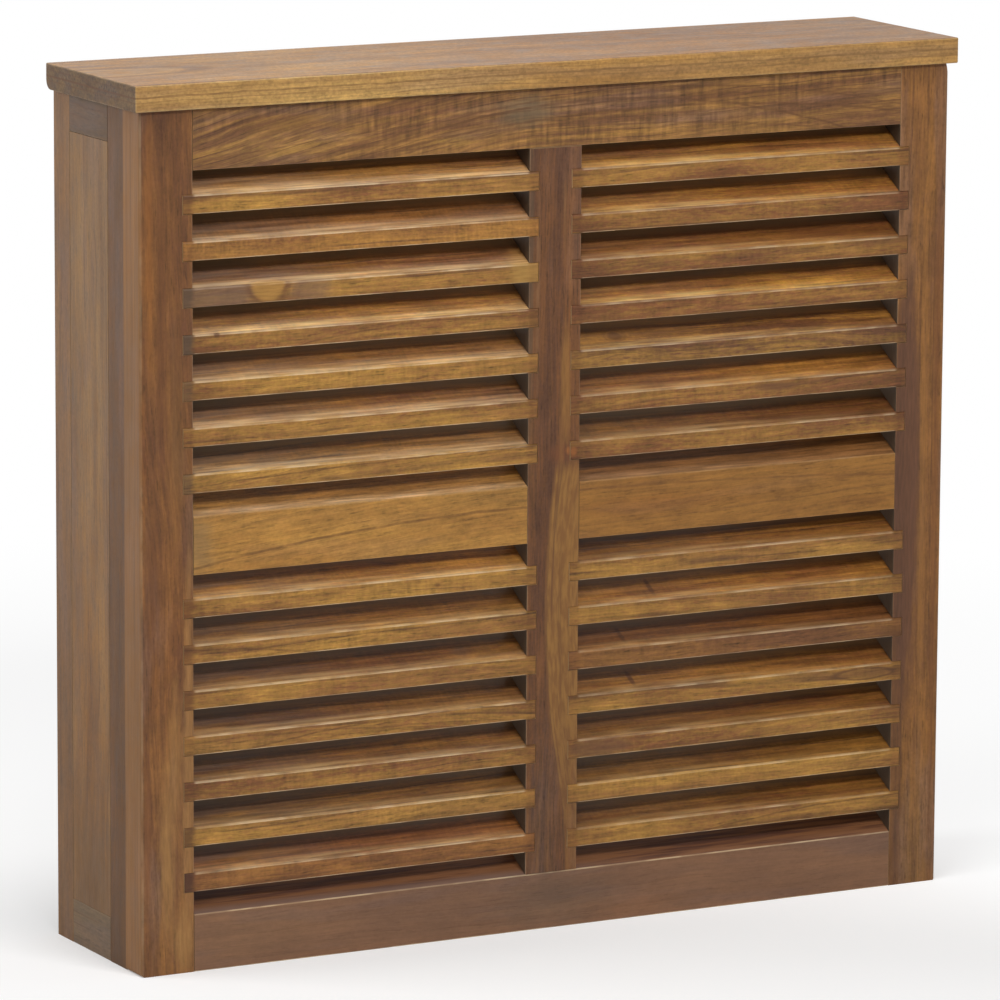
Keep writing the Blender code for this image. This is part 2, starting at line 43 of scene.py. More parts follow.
# Floor, in metres: it glows a little, more towards the back, and fades into the white background
FLOOR_RADIUS = 40.0
FLOOR_WHITE = 0.8
LIFT_CENTRE = (-0.7, -1.4, 0.0)
LIFT_SPAN = (1.4, 1.9)
LIFTS = (0.2, 0.5)
FADE_CENTRE = (-0.35, -0.35, 0.0)
FADE_SPAN = (1.1, 2.4)

# Wood tones, as linear colours
STRAW = (0.5, 0.29, 0.085)
GOLD = (0.45, 0.245, 0.06)
HONEY = (0.35, 0.165, 0.046)
RUSSET = (0.185, 0.075, 0.031)
CHESTNUT = (0.15, 0.06, 0.026)
PLUM = (0.105, 0.048, 0.03)
SLATE = (0.13, 0.088, 0.058)
DRAB = (0.24, 0.135, 0.065)
LINE = (0.115, 0.05, 0.022)
PINE = (0.6, 0.42, 0.22)
MAUVE = (0.185, 0.11, 0.082)
# Raw wood inside the joints of the front frame and louvres, kept light so that it also lifts the shade in the
# thin joint gaps: partly painted light
RAW = (0.42, 0.27, 0.135)
RAW_SIDE = (0.21, 0.13, 0.07)
STRIP = (0.268, 0.126, 0.043)
STRIP_GOLD = (0.254, 0.117, 0.03)
SHELF_LIGHT = (0.255, 0.11, 0.052)
SHELF_DARK = (0.115, 0.046, 0.03)
EDGE_GOLD = (0.385, 0.21, 0.068)
# Painted shade on the walls of the louvre openings
PAINTED_REVEAL_SHADE = (0.1, 0.066, 0.042)
HEART_LIGHT = (0.325, 0.16, 0.042)
HEART_DARK = (0.235, 0.106, 0.03)
ORANGE = (0.3, 0.115, 0.03)

# Painted shade on the wood deep in the gaps, for the upper bank of louvres and then for the lower one
PAINTED_GAP_SHADES = ((0.34, 0.26, 0.155), (0.23, 0.145, 0.074))

# Colours with alpha: what a tone is multiplied by, and then what covers it or is added to it
END_GRAIN = (0.43, 0.5, 0.7, 1)
EDGE_TINT = (1.24, 1.34, 1.2, 1)
END_SHADE = (0.55, 0.5, 0.55, 1)
JOINT_SHADE = (0.7, 0.62, 0.7, 1)
# A redder tone on the louvres' slopes: painted warm bounce light
BOUNCE_LIGHT_TINT = (1.06, 0.88, 0.7, 1)
# The pale tone on the arrises: wear, and a painted highlight
WORN_AND_HIGHLIGHT = (0.72, 0.53, 0.32, 1)
# A pale painted highlight along the front of the louvres' slopes
HIGHLIGHT_TONE = (0.64, 0.4, 0.16, 1)
# A painted reflection, added on the slopes of the louvres and middle rails
REFLECTION_TINT = (1.0, 1.05, 0.85, 1)
ZINC_DARK = (0.5, 0.5, 0.48, 1)
ZINC_LIGHT = (0.72, 0.71, 0.68, 1)

# The photograph has less blue than the tones above
WARMTH = (1.0, 0.965, 0.81)

# The louvres' slope, and places on the frame in metres
LOUVRE_SLOPE = math.radians(30)
OPENING_HALF = 0.16975
OPENING_EDGES = (0.027, 0.3665)
OPENING_HEIGHTS = ((0.053, 0.3651), (0.4186, 0.7307))
STILE_MIDDLE = 0.39
WALL_SPAN = (0.0008, 0.0012)
WALL_END = 0.0004
TAB_MIDDLE = -0.3765

# The mullion's heart, in metres: its widest height, half its length, and its edge there, bow and limit
HEART_HEIGHT = 0.3
HEART_HALF = 0.135
HEART_LEFT = -0.008
HEART_BOW = 0.01
HEART_LIMIT = 0.012

# Spans through a louvre or rail, in metres behind its middle, over which the painted highlight, reflections,
# sheen and gap shade fade
HIGHLIGHT_DEPTHS = (-0.016, -0.0085)
REFLECTION_DEPTHS = (-0.0165, -0.001)
RAIL_REFLECTION_DEPTHS = (-0.0165, -0.005)
SHELF_DEPTHS = (-0.015, -0.007)
GAP_DEPTHS = (0.001, 0.014)

# Spans along a louvre or rail, in metres to the right of its middle, over which the painted reflections and
# sheen fade
MAUVE_RUN = (-0.15, 0.03)
SHEEN_RUN = (-0.02, 0.15)
RAIL_RUN = (-0.05, 0.15)
SHELF_RUN = (-0.05, 0.1)

# How directly a face points along a direction, as cosines: not counted, then fully counted
FACING = (0.8, 0.9)
END_FACING = (0.7, 0.9)
SLOPE_FACING = (0.985, 0.995)
ARRIS_FACING = (0.94, 0.99)

# The last parts of a growth ring, where its dark line begins and where it ends
RING_START = (0.8, 0.95)
RING_END = (0.955, 0.995)

# The axis along the grain, the one across it and the one through it, as numbers, by the way a board runs
GRAIN_ORDER = {"x": (0, 2, 1), "y": (1, 2, 0), "z": (2, 0, 1)}

# Noise in the wood, in cycles a metre along, across and through the grain
NOISE = {
    "wander": (3.2, 8, 8), "ripple": (17, 40, 40), "breaks": (9, 30, 30), "fibre": (16, 420, 420),
    "fleck": (120, 460, 460), "mottle": (42, 75, 75), "speckle": (330, 380, 380), "pore": (70, 720, 720),
    "fiddle": (250, 40, 40), "figured": (7, 25, 25), "broad": (8, 32, 32), "stained": (6, 45, 45),
    "flame": (42, 260, 260), "wear_and_highlight": (35, 60, 60), "mark_edge": (40, 180, 180),
    "mark_grain": (60, 500, 500), "mauve_reflection": (14, 50, 50), "painted_highlight": (14, 160, 160),
    "louvre_streaks": (9, 0, 300), "rail_streaks": (14, 0, 300)}

# Noise in the frame's own directions, in cycles a metre over its width, depth and height
FRAME_NOISE = {
    "strip_gold": (0, 20, 7), "strip_streaks": (60, 230, 5), "seam_wave": (30, 0, 0),
    "seam_gaps": (60, 0, 40), "heart_wave": (0, 0, 14), "heart_rings": (480, 100, 6),
    "heart_tone": (300, 300, 60), "shelf_streaks": (10, 260, 10), "zinc": (900, 900, 900)}

# A soft ellipse of another tone: its place and half its sizes in metres, then shares from 0 to 1
Mark = namedtuple("Mark", "place size tint strength edge rim", defaults=(0.0,))
# A soft ellipse in which the board's own tone is multiplied by another
Wash = namedtuple("Wash", "place size tint")
# A dark line along a board, a parabola: where its top is, how fast it drops, half its width and its strength
Seam = namedtuple("Seam", "middle top drop wide strength")

# Louvres in one bank, above or below a middle rail
BANK = 7

# How each louvre differs: the share of dark wood, the tilt of its grain and the lightness of its slope
LEFT_LOUVRES = (
    (0.52, 0.01, 1.06), (0.34, -0.012, 0.88), (0.61, 0.018, 1.12), (0.61, 0.006, 1.4), (0.38, -0.008, 0.91),
    (0.38, 0.014, 0.97), (0.22, 0.03, 0.73), (0.4, -0.012, 1.08), (0.46, 0.012, 0.77), (0.58, -0.02, 0.79),
    (0.5, -0.03, 0.74), (0.59, 0.016, 0.78), (0.27, 0.01, 0.64), (0.72, 0.024, 1.0))
RIGHT_LOUVRES = (
    (0.56, 0.008, 1.29), (0.78, -0.01, 1.4), (0.82, 0.012, 0.94), (0.82, 0.02, 1.58), (0.56, -0.014, 1.25),
    (0.67, 0.016, 1.04), (0.64, 0.006, 0.72), (0.58, 0.024, 0.81), (0.51, -0.01, 1.05), (0.64, 0.01, 0.8),
    (0.36, -0.02, 0.91), (0.51, 0.014, 0.73), (0.21, 0.004, 0.6), (0.52, -0.012, 0.72))

# How the columns of louvres differ: the louvres, the first seed and the painted reflection on the slopes of
# the upper bank and the lower; then arrises worn and with a painted highlight, fine grain, painted mauve
# reflection and the painted sheen left at the right end
COLUMNS = {
    "left": (LEFT_LOUVRES, 0.0, (0.086, 0.026),
             {"wear_and_highlight": 0.85, "fine": 1.5, "mauve_reflection": 0.6, "right_end": 1.0}),
    "right": (RIGHT_LOUVRES, 20.0, (0.016, 0.004),
              {"wear_and_highlight": 0.65, "fine": 1.35, "mauve_reflection": 0.25, "right_end": 0.3})}

# The left ends of the left louvres that are darker than the rest: colour, then strength
LEFT_TABS = {1: (CHESTNUT, 0.45), 3: (SLATE, 0.75), 4: (SLATE, 0.9), 5: (SLATE, 0.5), 7: (SLATE, 0.6),
             8: (RUSSET, 0.5), 9: (RUSSET, 0.5), 10: (RUSSET, 0.6), 13: (PLUM, 0.6), 14: (PLUM, 0.8)}


class Graph:
    """Short calls that add nodes to a tree and link them."""

    def __init__(self, tree):
        self.tree = tree

    def feed(self, socket, value):
        """Links a socket, or sets the value of an open one."""
        if isinstance(value, bpy.types.NodeSocket):
            self.tree.links.new(value, socket)
        else:
            socket.default_value = value

    def add(self, kind, inputs=None, **settings):
        """Adds a node, with its settings and its inputs by name or number."""
        made = self.tree.nodes.new(kind)
        for name, value in settings.items():
            setattr(made, name, value)
        for key, value in (inputs or {}).items():
            self.feed(made.inputs[key], value)
        return made

    def math(self, operation, *values, clamp=False):
        """A Math node's value."""
        made = self.add("ShaderNodeMath", dict(enumerate(values)), operation=operation, use_clamp=clamp)
        return made.outputs[0]

    def plus(self, *values, clamp=False):
        """The sum of two numbers."""
        return self.math("ADD", *values, clamp=clamp)

    def minus(self, *values):
        """The first number less the second."""
        return self.math("SUBTRACT", *values)

    def times(self, *values, clamp=False):
        """The product of two numbers."""
        return self.math("MULTIPLY", *values, clamp=clamp)

    def most(self, *values):
        """The larger of two numbers."""
        return self.math("MAXIMUM", *values)

    def vector(self, operation, *values):
        """A Vector Math node's vector, or its number where the operation gives one."""
        made = self.add("ShaderNodeVectorMath", dict(enumerate(values)), operation=operation)
        return made.outputs["Value" if operation in ("LENGTH", "DOT_PRODUCT") else "Vector"]

    def join(self, x, y, z):
        """A vector from three numbers."""
        return self.add("ShaderNodeCombineXYZ", {0: x, 1: y, 2: z}).outputs[0]

    def same(self, value):
        """A vector, or a grey, with one number three times."""
        return self.join(value, value, value)

    def parts(self, vector):
        """The three numbers of a vector."""
        return self.add("ShaderNodeSeparateXYZ", {0: vector}).outputs

    def mix(self, share, first, second, blend="MIX"):
        """Two colours mixed."""
        made = self.add("ShaderNodeMix", {0: share, 6: first, 7: second}, data_type="RGBA", blend_type=blend)
        return made.outputs[2]

    def tint(self, colour, tone):
        """A colour multiplied by another."""
        return self.mix(1.0, colour, tone, "MULTIPLY")

    def step(self, value, low, high, start=0.0, end=1.0):
        """A smooth step from start to end as the value goes from low to high."""
        made = self.add("ShaderNodeMapRange", {0: value, 1: low, 2: high, 3: start, 4: end},
                        interpolation_type="SMOOTHSTEP")
        return made.outputs[0]

    def noise(self, point, scales, detail=2.0, roughness=0.5):
        """Noise stretched by a scale along each axis, in cycles a metre."""
        stretched = self.vector("MULTIPLY", point, scales)
        made = self.add("ShaderNodeTexNoise", {"Vector": stretched, "Scale": 1.0, "Detail": detail,
                                               "Roughness": roughness})
        return made.outputs["Fac"]

    def centred(self, value, amount):
        """A value from 0 to 1 turned into one round 0, times an amount."""
        return self.times(self.minus(value, 0.5), amount)

    def around_one(self, value, amount):
        """A value from 0 to 1 turned into a grey round 1, to multiply a colour by."""
        return self.same(self.plus(self.centred(value, amount), 1.0))


VECTOR, FLOAT, COLOR = "NodeSocketVector", "NodeSocketFloat", "NodeSocketColor"
TIMBER_INPUTS = (
    ("Point", VECTOR), ("End", FLOAT), ("Arris", FLOAT), ("Seed", FLOAT), ("Light", COLOR), ("Dark", COLOR),
    ("Line", COLOR), ("Stain", COLOR), ("Pith", VECTOR), ("Spacing", FLOAT), ("Tilt", FLOAT), ("Bend", FLOAT),
    ("Wander", FLOAT), ("Lines", FLOAT), ("Streaks", FLOAT), ("Broad", FLOAT), ("Figure", FLOAT),
    ("Darkness", FLOAT), ("Staining", FLOAT), ("Speckle", FLOAT), ("Flame", FLOAT), ("Fine", FLOAT))
TIMBER_OUTPUTS = (("Color", COLOR), ("Roughness", FLOAT), ("Height", FLOAT))
PATCH_INPUTS = (
    ("Color", COLOR), ("Point", VECTOR), ("Place", VECTOR), ("Size", VECTOR), ("Tint", COLOR),
    ("Strength", FLOAT), ("Edge", FLOAT), ("Rim", FLOAT), ("Wash", FLOAT))
PATCH_OUTPUTS = (("Color", COLOR),)


def start_group(name, inputs, outputs):
    """A new node group with its sockets: the tree, its graph and what it is given."""
    tree = bpy.data.node_groups.new(name, "ShaderNodeTree")
    for side, sockets in (("INPUT", inputs), ("OUTPUT", outputs)):
        for label, kind in sockets:
            tree.interface.new_socket(label, in_out=side, socket_type=kind)
    graph = Graph(tree)
    return tree, graph, graph.add("NodeGroupInput").outputs


def follow_grain(graph, given, place):
    """The height across the grain, which wanders, leans and bends, and the distance from the pith."""
    along, across, deep = graph.parts(given["Point"])
    wander = graph.times(graph.centred(graph.noise(place, NOISE["wander"]), 0.02), given["Wander"])
    ripple = graph.centred(graph.noise(place, NOISE["ripple"]), 0.003)
    lean = graph.times(along, given["Tilt"])
    curve = graph.times(graph.times(along, along), given["Bend"])
    level = graph.plus(graph.plus(across, wander), ripple)
    level = graph.minus(graph.minus(level, lean), curve)
    flow = graph.join(0.0, level, graph.plus(deep, graph.times(wander, 0.4)))
    radius = graph.vector("LENGTH", graph.vector("SUBTRACT", flow, given["Pith"]))
    return level, radius


def ring_lines(graph, given, place, radius):
    """The thin dark line that ends each growth ring, broken in places."""
    count = graph.math("DIVIDE", radius, given["Spacing"])
    uneven = graph.noise(graph.join(graph.plus(count, given["Seed"]), 0.0, 0.0), (0.9, 1.0, 1.0), 1.0)
    count = graph.plus(count, graph.centred(uneven, 1.4))
    ring = graph.math("FRACT", count)
    line = graph.times(graph.step(ring, *RING_START), graph.step(ring, *RING_END, 1.0, 0.0))
    breaks = graph.step(graph.noise(place, NOISE["breaks"]), 0.4, 0.6, 0.15, 1.0)
    line = graph.times(graph.times(line, breaks), given["Lines"])
    return graph.times(line, graph.math("MULTIPLY_ADD", given["End"], -0.6, 1.0))


def fine_marks(graph, place, grain_point):
    """Long fibres, short flecks, mottle, speckle and pores, each from 0 to 1."""
    return {"fibre": graph.noise(grain_point, NOISE["fibre"], 3.0, 0.6),
            "fleck": graph.noise(grain_point, NOISE["fleck"], 2.0, 0.6),
            "mottle": graph.noise(place, NOISE["mottle"]),
            "speckle": graph.noise(place, NOISE["speckle"], 1.0),
            "pore": graph.step(graph.noise(grain_point, NOISE["pore"], 1.0), 0.6, 0.72)}


def banded_tone(graph, given, place, radius, fleck):
    """The board's tone: bands of lighter and darker wood that follow the rings, and stained areas."""
    along, _, deep = graph.parts(given["Point"])
    band_level = graph.math("DIVIDE", radius, graph.times(given["Spacing"], 0.8))
    band_depth = graph.plus(given["Seed"], graph.times(deep, 16.0))
    band_place = graph.join(graph.times(along, 3.0), band_level, band_depth)
    bands = graph.noise(band_place, (1.0, 1.0, 1.0), 4.0, 0.66)
    broad = graph.noise(place, NOISE["broad"])
    share = graph.plus(graph.centred(bands, given["Streaks"]), graph.centred(broad, given["Broad"]))
    share = graph.plus(share, graph.times(graph.centred(fleck, 1.2), given["Fine"]))
    share = graph.plus(share, given["Darkness"], clamp=True)
    colour = graph.mix(share, given["Light"], given["Dark"])
    stained = graph.step(graph.noise(place, NOISE["stained"]), 0.5, 0.66)
    return graph.mix(graph.times(stained, given["Staining"], clamp=True), colour, given["Stain"])


def fine_light(graph, given, place, grain_point, fine):
    """How light each place is, from everything fine in the wood and from cross figure and flame."""
    figured = graph.step(graph.noise(place, NOISE["figured"], 1.0), 0.38, 0.58)
    fiddle = graph.times(graph.centred(graph.noise(place, NOISE["fiddle"], 1.0), given["Figure"]), figured)
    flame = graph.step(graph.noise(grain_point, NOISE["flame"], 2.0, 0.6), 0.5, 0.68)
    light = graph.plus(graph.centred(fine["fibre"], 0.8), graph.centred(fine["fleck"], 0.8))
    light = graph.plus(light, graph.centred(fine["mottle"], 0.5))
    light = graph.plus(light, graph.centred(fine["speckle"], given["Speckle"]))
    light = graph.plus(graph.plus(light, fiddle), graph.times(flame, given["Flame"]))
    light = graph.minus(light, graph.times(fine["pore"], 0.22))
    return graph.most(graph.math("MULTIPLY_ADD", light, given["Fine"], 1.02), 0.3)


def build_timber():
    """The node group of stained timber; its Point is along the grain, across it and through it, in metres."""
    tree, graph, given = start_group("timber", TIMBER_INPUTS, TIMBER_OUTPUTS)
    along, _, deep = graph.parts(given["Point"])
    shift = graph.vector("MULTIPLY", graph.same(given["Seed"]), (7.3, 3.1, 5.7))
    place = graph.vector("ADD", given["Point"], shift)
    level, radius = follow_grain(graph, given, place)
    grain_point = graph.vector("ADD", graph.join(along, level, deep), shift)
    fine = fine_marks(graph, place, grain_point)
    line = ring_lines(graph, given, place, radius)

    colour = banded_tone(graph, given, place, radius, fine["fleck"])
    colour = graph.mix(line, colour, given["Line"])
    colour = graph.tint(colour, graph.same(fine_light(graph, given, place, grain_point, fine)))
    colour = graph.mix(given["End"], colour, END_GRAIN, "MULTIPLY")
    # Arrises turn paler: wear, and a painted highlight
    wear_and_highlight = graph.step(graph.noise(place, NOISE["wear_and_highlight"]), 0.36, 0.66, 0.35, 1.0)
    colour = graph.mix(graph.times(given["Arris"], wear_and_highlight), colour, WORN_AND_HIGHLIGHT)

    rough = graph.plus(graph.centred(fine["fibre"], 0.25), graph.centred(fine["mottle"], 0.25))
    rough = graph.plus(graph.plus(rough, 0.46), graph.times(given["End"], 0.16))
    rough = graph.minus(rough, graph.times(given["Arris"], 0.12))
    height = graph.minus(graph.centred(fine["fibre"], 0.9), graph.times(fine["pore"], 0.55))
    height = graph.minus(height, graph.times(line, 0.35))
    graph.add("NodeGroupOutput", {"Color": colour, "Roughness": rough, "Height": height})
    return tree


def build_patch():
    """The node group of one soft patch, an ellipse round a place on the board's face."""
    tree, graph, given = start_group("patch", PATCH_INPUTS, PATCH_OUTPUTS)
    offset = graph.vector("DIVIDE", graph.vector("SUBTRACT", given["Point"], given["Place"]), given["Size"])
    ragged = graph.noise(graph.vector("ADD", given["Point"], given["Place"]), NOISE["mark_edge"], 3.0, 0.6)
    ragged = graph.times(graph.centred(ragged, 1.1), given["Edge"])
    distance = graph.plus(graph.vector("LENGTH", offset), ragged)
    mask = graph.step(distance, graph.minus(1.0, given["Edge"]), 1.05, 1.0, 0.0)
    rim = graph.times(graph.step(distance, 0.8, 1.0), graph.step(distance, 1.0, 1.35, 1.0, 0.0))
    fine = graph.noise(given["Point"], NOISE["mark_grain"])
    tone = graph.tint(given["Tint"], graph.around_one(fine, 0.8))
    tone = graph.mix(given["Wash"], tone, graph.tint(given["Color"], given["Tint"]))
    colour = graph.mix(graph.times(mask, given["Strength"]), given["Color"], tone)
    colour = graph.mix(graph.times(rim, given["Rim"]), colour, (*LINE, 1))
    graph.add("NodeGroupOutput", {"Color": colour})
    return tree


def face_masks(graph, grain):
    """Masks of the faces by the way they point; ahead is towards the front, fore is front or back."""
    normal = graph.add("ShaderNodeNewGeometry").outputs["True Normal"]
    x, y, z = sizes = graph.parts(graph.vector("ABSOLUTE", normal))
    slope = Vector((0, -math.sin(LOUVRE_SLOPE), math.cos(LOUVRE_SLOPE)))
    sloping = graph.math("ABSOLUTE", graph.vector("DOT_PRODUCT", normal, slope))
    facing = graph.most(graph.most(x, y), graph.most(z, sloping))
    return {
        "arris": graph.step(facing, *ARRIS_FACING, 1.0, 0.0),
        "end": graph.step(sizes[GRAIN_ORDER[grain][0]], *END_FACING),
        "slope": graph.step(sloping, *SLOPE_FACING),
        "sideways": graph.step(x, *FACING),
        "level": graph.step(z, *FACING),
        "fore": graph.step(y, *FACING),
        "ahead": graph.step(graph.times(graph.parts(normal)[1], -1.0), *FACING)}


def start_material(name):
    """A new material without nodes, and its graph."""
    material = bpy.data.materials.new(name)
    material.use_nodes = True
    material.node_tree.nodes.clear()
    return material, Graph(material.node_tree)


# What a board has where its look says nothing else
PLAIN_WOOD = {
    "stain": MAUVE, "tilt": 0.0, "bend": 0.0, "wander": 1.0, "lines": 0.7, "streaks": 1.6, "broad": 1.4,
    "figure": 0.0, "darkness": 0.5, "staining": 0.3, "speckle": 0.3, "flame": 0.0, "fine": 1.0, "wear_and_highlight": 0.2,
    "gloss": 0.3, "patches": (), "washes": (), "seams": ()}


def timber_material(name, look):
    """The material of one board."""
    look = {**PLAIN_WOOD, **look}
    material, graph = start_material(name)
    low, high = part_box(name)
    middle = (Vector(low) + Vector(high)) / 2
    order = GRAIN_ORDER[look["grain"]]
    world = graph.add("ShaderNodeTexCoord").outputs["Object"]
    offset = graph.parts(graph.vector("SUBTRACT", world, middle))
    point = graph.join(*[offset[axis] for axis in order])
    masks = face_masks(graph, look["grain"])
    arris = graph.times(masks["arris"], look["wear_and_highlight"])
    if name.startswith("louvre"):
        length = graph.math("ABSOLUTE", offset[0])
        seen = graph.step(length, OPENING_HALF - 0.003, OPENING_HALF + 0.001, 1.0, 0.0)
        arris = graph.times(arris, seen)

    # These boards have their ends in joints, on the floor or under the top board, so they get no end grain
    jointed = name.startswith(("front", "louvre", "side"))
    group = graph.add("ShaderNodeGroup", {
        "Point": point, "End": 0.0 if jointed else masks["end"], "Arris": arris, "Light": warm(look["light"]),
        "Dark": warm(look["dark"]), "Line": (*LINE, 1), "Stain": (*look["stain"], 1)}, node_tree=timber)
    # The group's other numbers have the names that they have in the look
    for label, kind in TIMBER_INPUTS:
        if kind != COLOR and label.lower() in look:
            graph.feed(group.inputs[label], look[label.lower()])
    end = None if jointed else masks["end"]
    colour = add_marks(graph, group.outputs["Color"], point, middle, order, end, look)
    colour = shade_board(graph, colour, name, look, world, point, masks)
    if jointed:
        colour = show_joints(graph, colour, world, masks, name, look["grain"])
    bump = graph.add("ShaderNodeBump", {
        "Strength": 0.4, "Distance": 0.0003, "Height": group.outputs["Height"]})
    shader = graph.add("ShaderNodeBsdfPrincipled", {
        "Base Color": colour, "Roughness": group.outputs["Roughness"],
        "Specular IOR Level": look["gloss"], "Normal": bump.outputs[0]})
    graph.add("ShaderNodeOutputMaterial", {"Surface": shader.outputs[0]})
    return material


def add_marks(graph, colour, point, middle, order, end, look):
    """The board's patches and then its washes, over the colour; they fade on the end grain, if any shows."""
    marks = [(mark, warm(mark.tint), 0.0) for mark in look["patches"]]
    marks += [(Mark(*wash, 1.0, 1.0), (*wash.tint, 1), 1.0) for wash in look["washes"]]
    for mark, tint, wash in marks:
        strength, rim = mark.strength, mark.rim
        if end is not None:
            strength = graph.math("MULTIPLY_ADD", end, -strength, strength)
            rim = graph.math("MULTIPLY_ADD", end, -rim, rim)
        local = Vector(mark.place) - middle
        made = graph.add("ShaderNodeGroup", {
            "Color": colour, "Point": point, "Place": [local[axis] for axis in order],
            "Size": [mark.size[axis] for axis in order], "Tint": tint, "Strength": strength,
            "Edge": mark.edge, "Rim": rim, "Wash": wash}, node_tree=patch)
        colour = made.outputs[0]
    return colour


def shade_board(graph, colour, name, look, world, point, masks):
    """What single boards have beside their wood and marks: a heart, seams, slopes and a paler edge."""
    if name == "front_mullion":
        colour = add_heart(graph, colour, world)
    for seam in look["seams"]:
        colour = add_seam(graph, colour, world, seam)
    if name == "front_bottom_rail":
        colour = shade_shelf(graph, colour, world, point, masks)
    if name.startswith("front_mid_rail"):
        colour = shade_rail(graph, colour, point, masks, look)
    if name == "top_board":
        edge = graph.mix(0.25, graph.tint(colour, EDGE_TINT), (*EDGE_GOLD, 1))
        colour = graph.mix(masks["fore"], colour, edge)
    if name.startswith("louvre"):
        colour = shade_louvre(graph, colour, point, masks, look)
    return colour


def warm(tone):
    """A wood tone with the photograph's warmth, as a colour with alpha."""
    return (*[part * share for part, share in zip(tone, WARMTH)], 1)


def show_joints(graph, colour, world, masks, name, grain):
    """Raw wood on the faces inside the joints, light enough on the front frame and louvres to lift the shade
    in their joint gaps; painted shade on the walls of the openings; and the stiles' outer faces.
    """
    if name.startswith("louvre") or (name.startswith("front") and grain == "x"):
        return graph.mix(masks["end"], colour, (*RAW, 1))
    if name.startswith("side"):
        return graph.mix(graph.most(masks["level"], masks["ahead"]), colour, (*RAW_SIDE, 1))
    x, _, z = graph.parts(world)
    reach = graph.math("ABSOLUTE", x)
    inner = graph.times(masks["sideways"], graph.step(reach, STILE_MIDDLE - 0.01, STILE_MIDDLE, 1.0, 0.0))
    colour = graph.mix(graph.most(inner, masks["level"]), colour, (*RAW, 1))
    # The walls of the louvre openings get painted shade
    wall = graph.times(opening_walls(graph, reach, z), masks["sideways"])
    colour = graph.mix(wall, colour, (*PAINTED_REVEAL_SHADE, 1))
    outer = graph.times(masks["sideways"], graph.step(reach, STILE_MIDDLE, STILE_MIDDLE + 0.01, 0.0, 0.7))
    gold = graph.step(graph.noise(world, FRAME_NOISE["strip_gold"]), 0.42, 0.58)
    streaks = graph.noise(world, FRAME_NOISE["strip_streaks"], 3.0, 0.6)
    strip = graph.tint(graph.mix(gold, warm(STRIP), warm(STRIP_GOLD)), graph.around_one(streaks, 1.3))
    return graph.mix(outer, colour, strip)


def opening_walls(graph, reach, height):
    """1 at the distance from the middle and at the heights where the louvre openings have their walls."""
    wall = 0.0
    for edge in OPENING_EDGES:
        off = graph.math("ABSOLUTE", graph.minus(reach, edge))
        wall = graph.most(wall, graph.step(off, *WALL_SPAN, 1.0, 0.0))
    inside = 0.0
    for low, high in OPENING_HEIGHTS:
        above = graph.step(height, low, low + WALL_END)
        below = graph.step(height, high - WALL_END, high, 1.0, 0.0)
        inside = graph.most(inside, graph.times(above, below))
    return graph.times(wall, inside)


def add_seam(graph, colour, world, seam):
    """One dark growth line along a board."""
    x, _, z = graph.parts(world)
    run = graph.minus(x, seam.middle)
    height = graph.minus(seam.top, graph.times(graph.times(run, run), seam.drop))
    wave = graph.centred(graph.noise(world, FRAME_NOISE["seam_wave"], 3.0), 0.004)
    off = graph.math("ABSOLUTE", graph.minus(graph.minus(z, height), wave))
    faint = graph.step(graph.noise(world, FRAME_NOISE["seam_gaps"]), 0.35, 0.6, 0.45, 1.0)
    share = graph.times(graph.step(off, seam.wide * 0.3, seam.wide, seam.strength, 0.0), faint)
    return graph.mix(share, colour, warm(LINE))


def add_heart(graph, colour, world):
    """The golden heart in the mullion's right half: its edge and its dark lines bow to the left."""
    x, y, z = graph.parts(world)
    rise = graph.math("DIVIDE", graph.minus(z, HEART_HEIGHT), HEART_HALF)
    edge = graph.math("MULTIPLY_ADD", graph.times(rise, rise), HEART_BOW, HEART_LEFT)
    edge = graph.math("MINIMUM", edge, HEART_LIMIT)
    wave = graph.centred(graph.noise(world, FRAME_NOISE["heart_wave"]), 0.006)
    level = graph.minus(graph.minus(x, edge), wave)
    fine = graph.noise(graph.join(level, graph.times(y, 0.3), z), FRAME_NOISE["heart_rings"])
    tone = graph.noise(graph.join(level, y, z), FRAME_NOISE["heart_tone"])
    gold = graph.mix(graph.step(tone, 0.35, 0.65), (*HEART_LIGHT, 1), (*HEART_DARK, 1))
    rings = graph.times(graph.step(fine, 0.52, 0.66), graph.step(level, 0.004, 0.018, 0.62, 0.22))
    gold = graph.mix(rings, gold, (*LINE, 1))
    share = graph.times(graph.step(level, -0.0018, 0.0035), graph.step(z, 0.03, 0.24, 0.25, 0.85))
    share = graph.times(share, graph.step(z, 0.425, 0.442, 1.0, 0.0))
    return graph.mix(share, colour, gold)


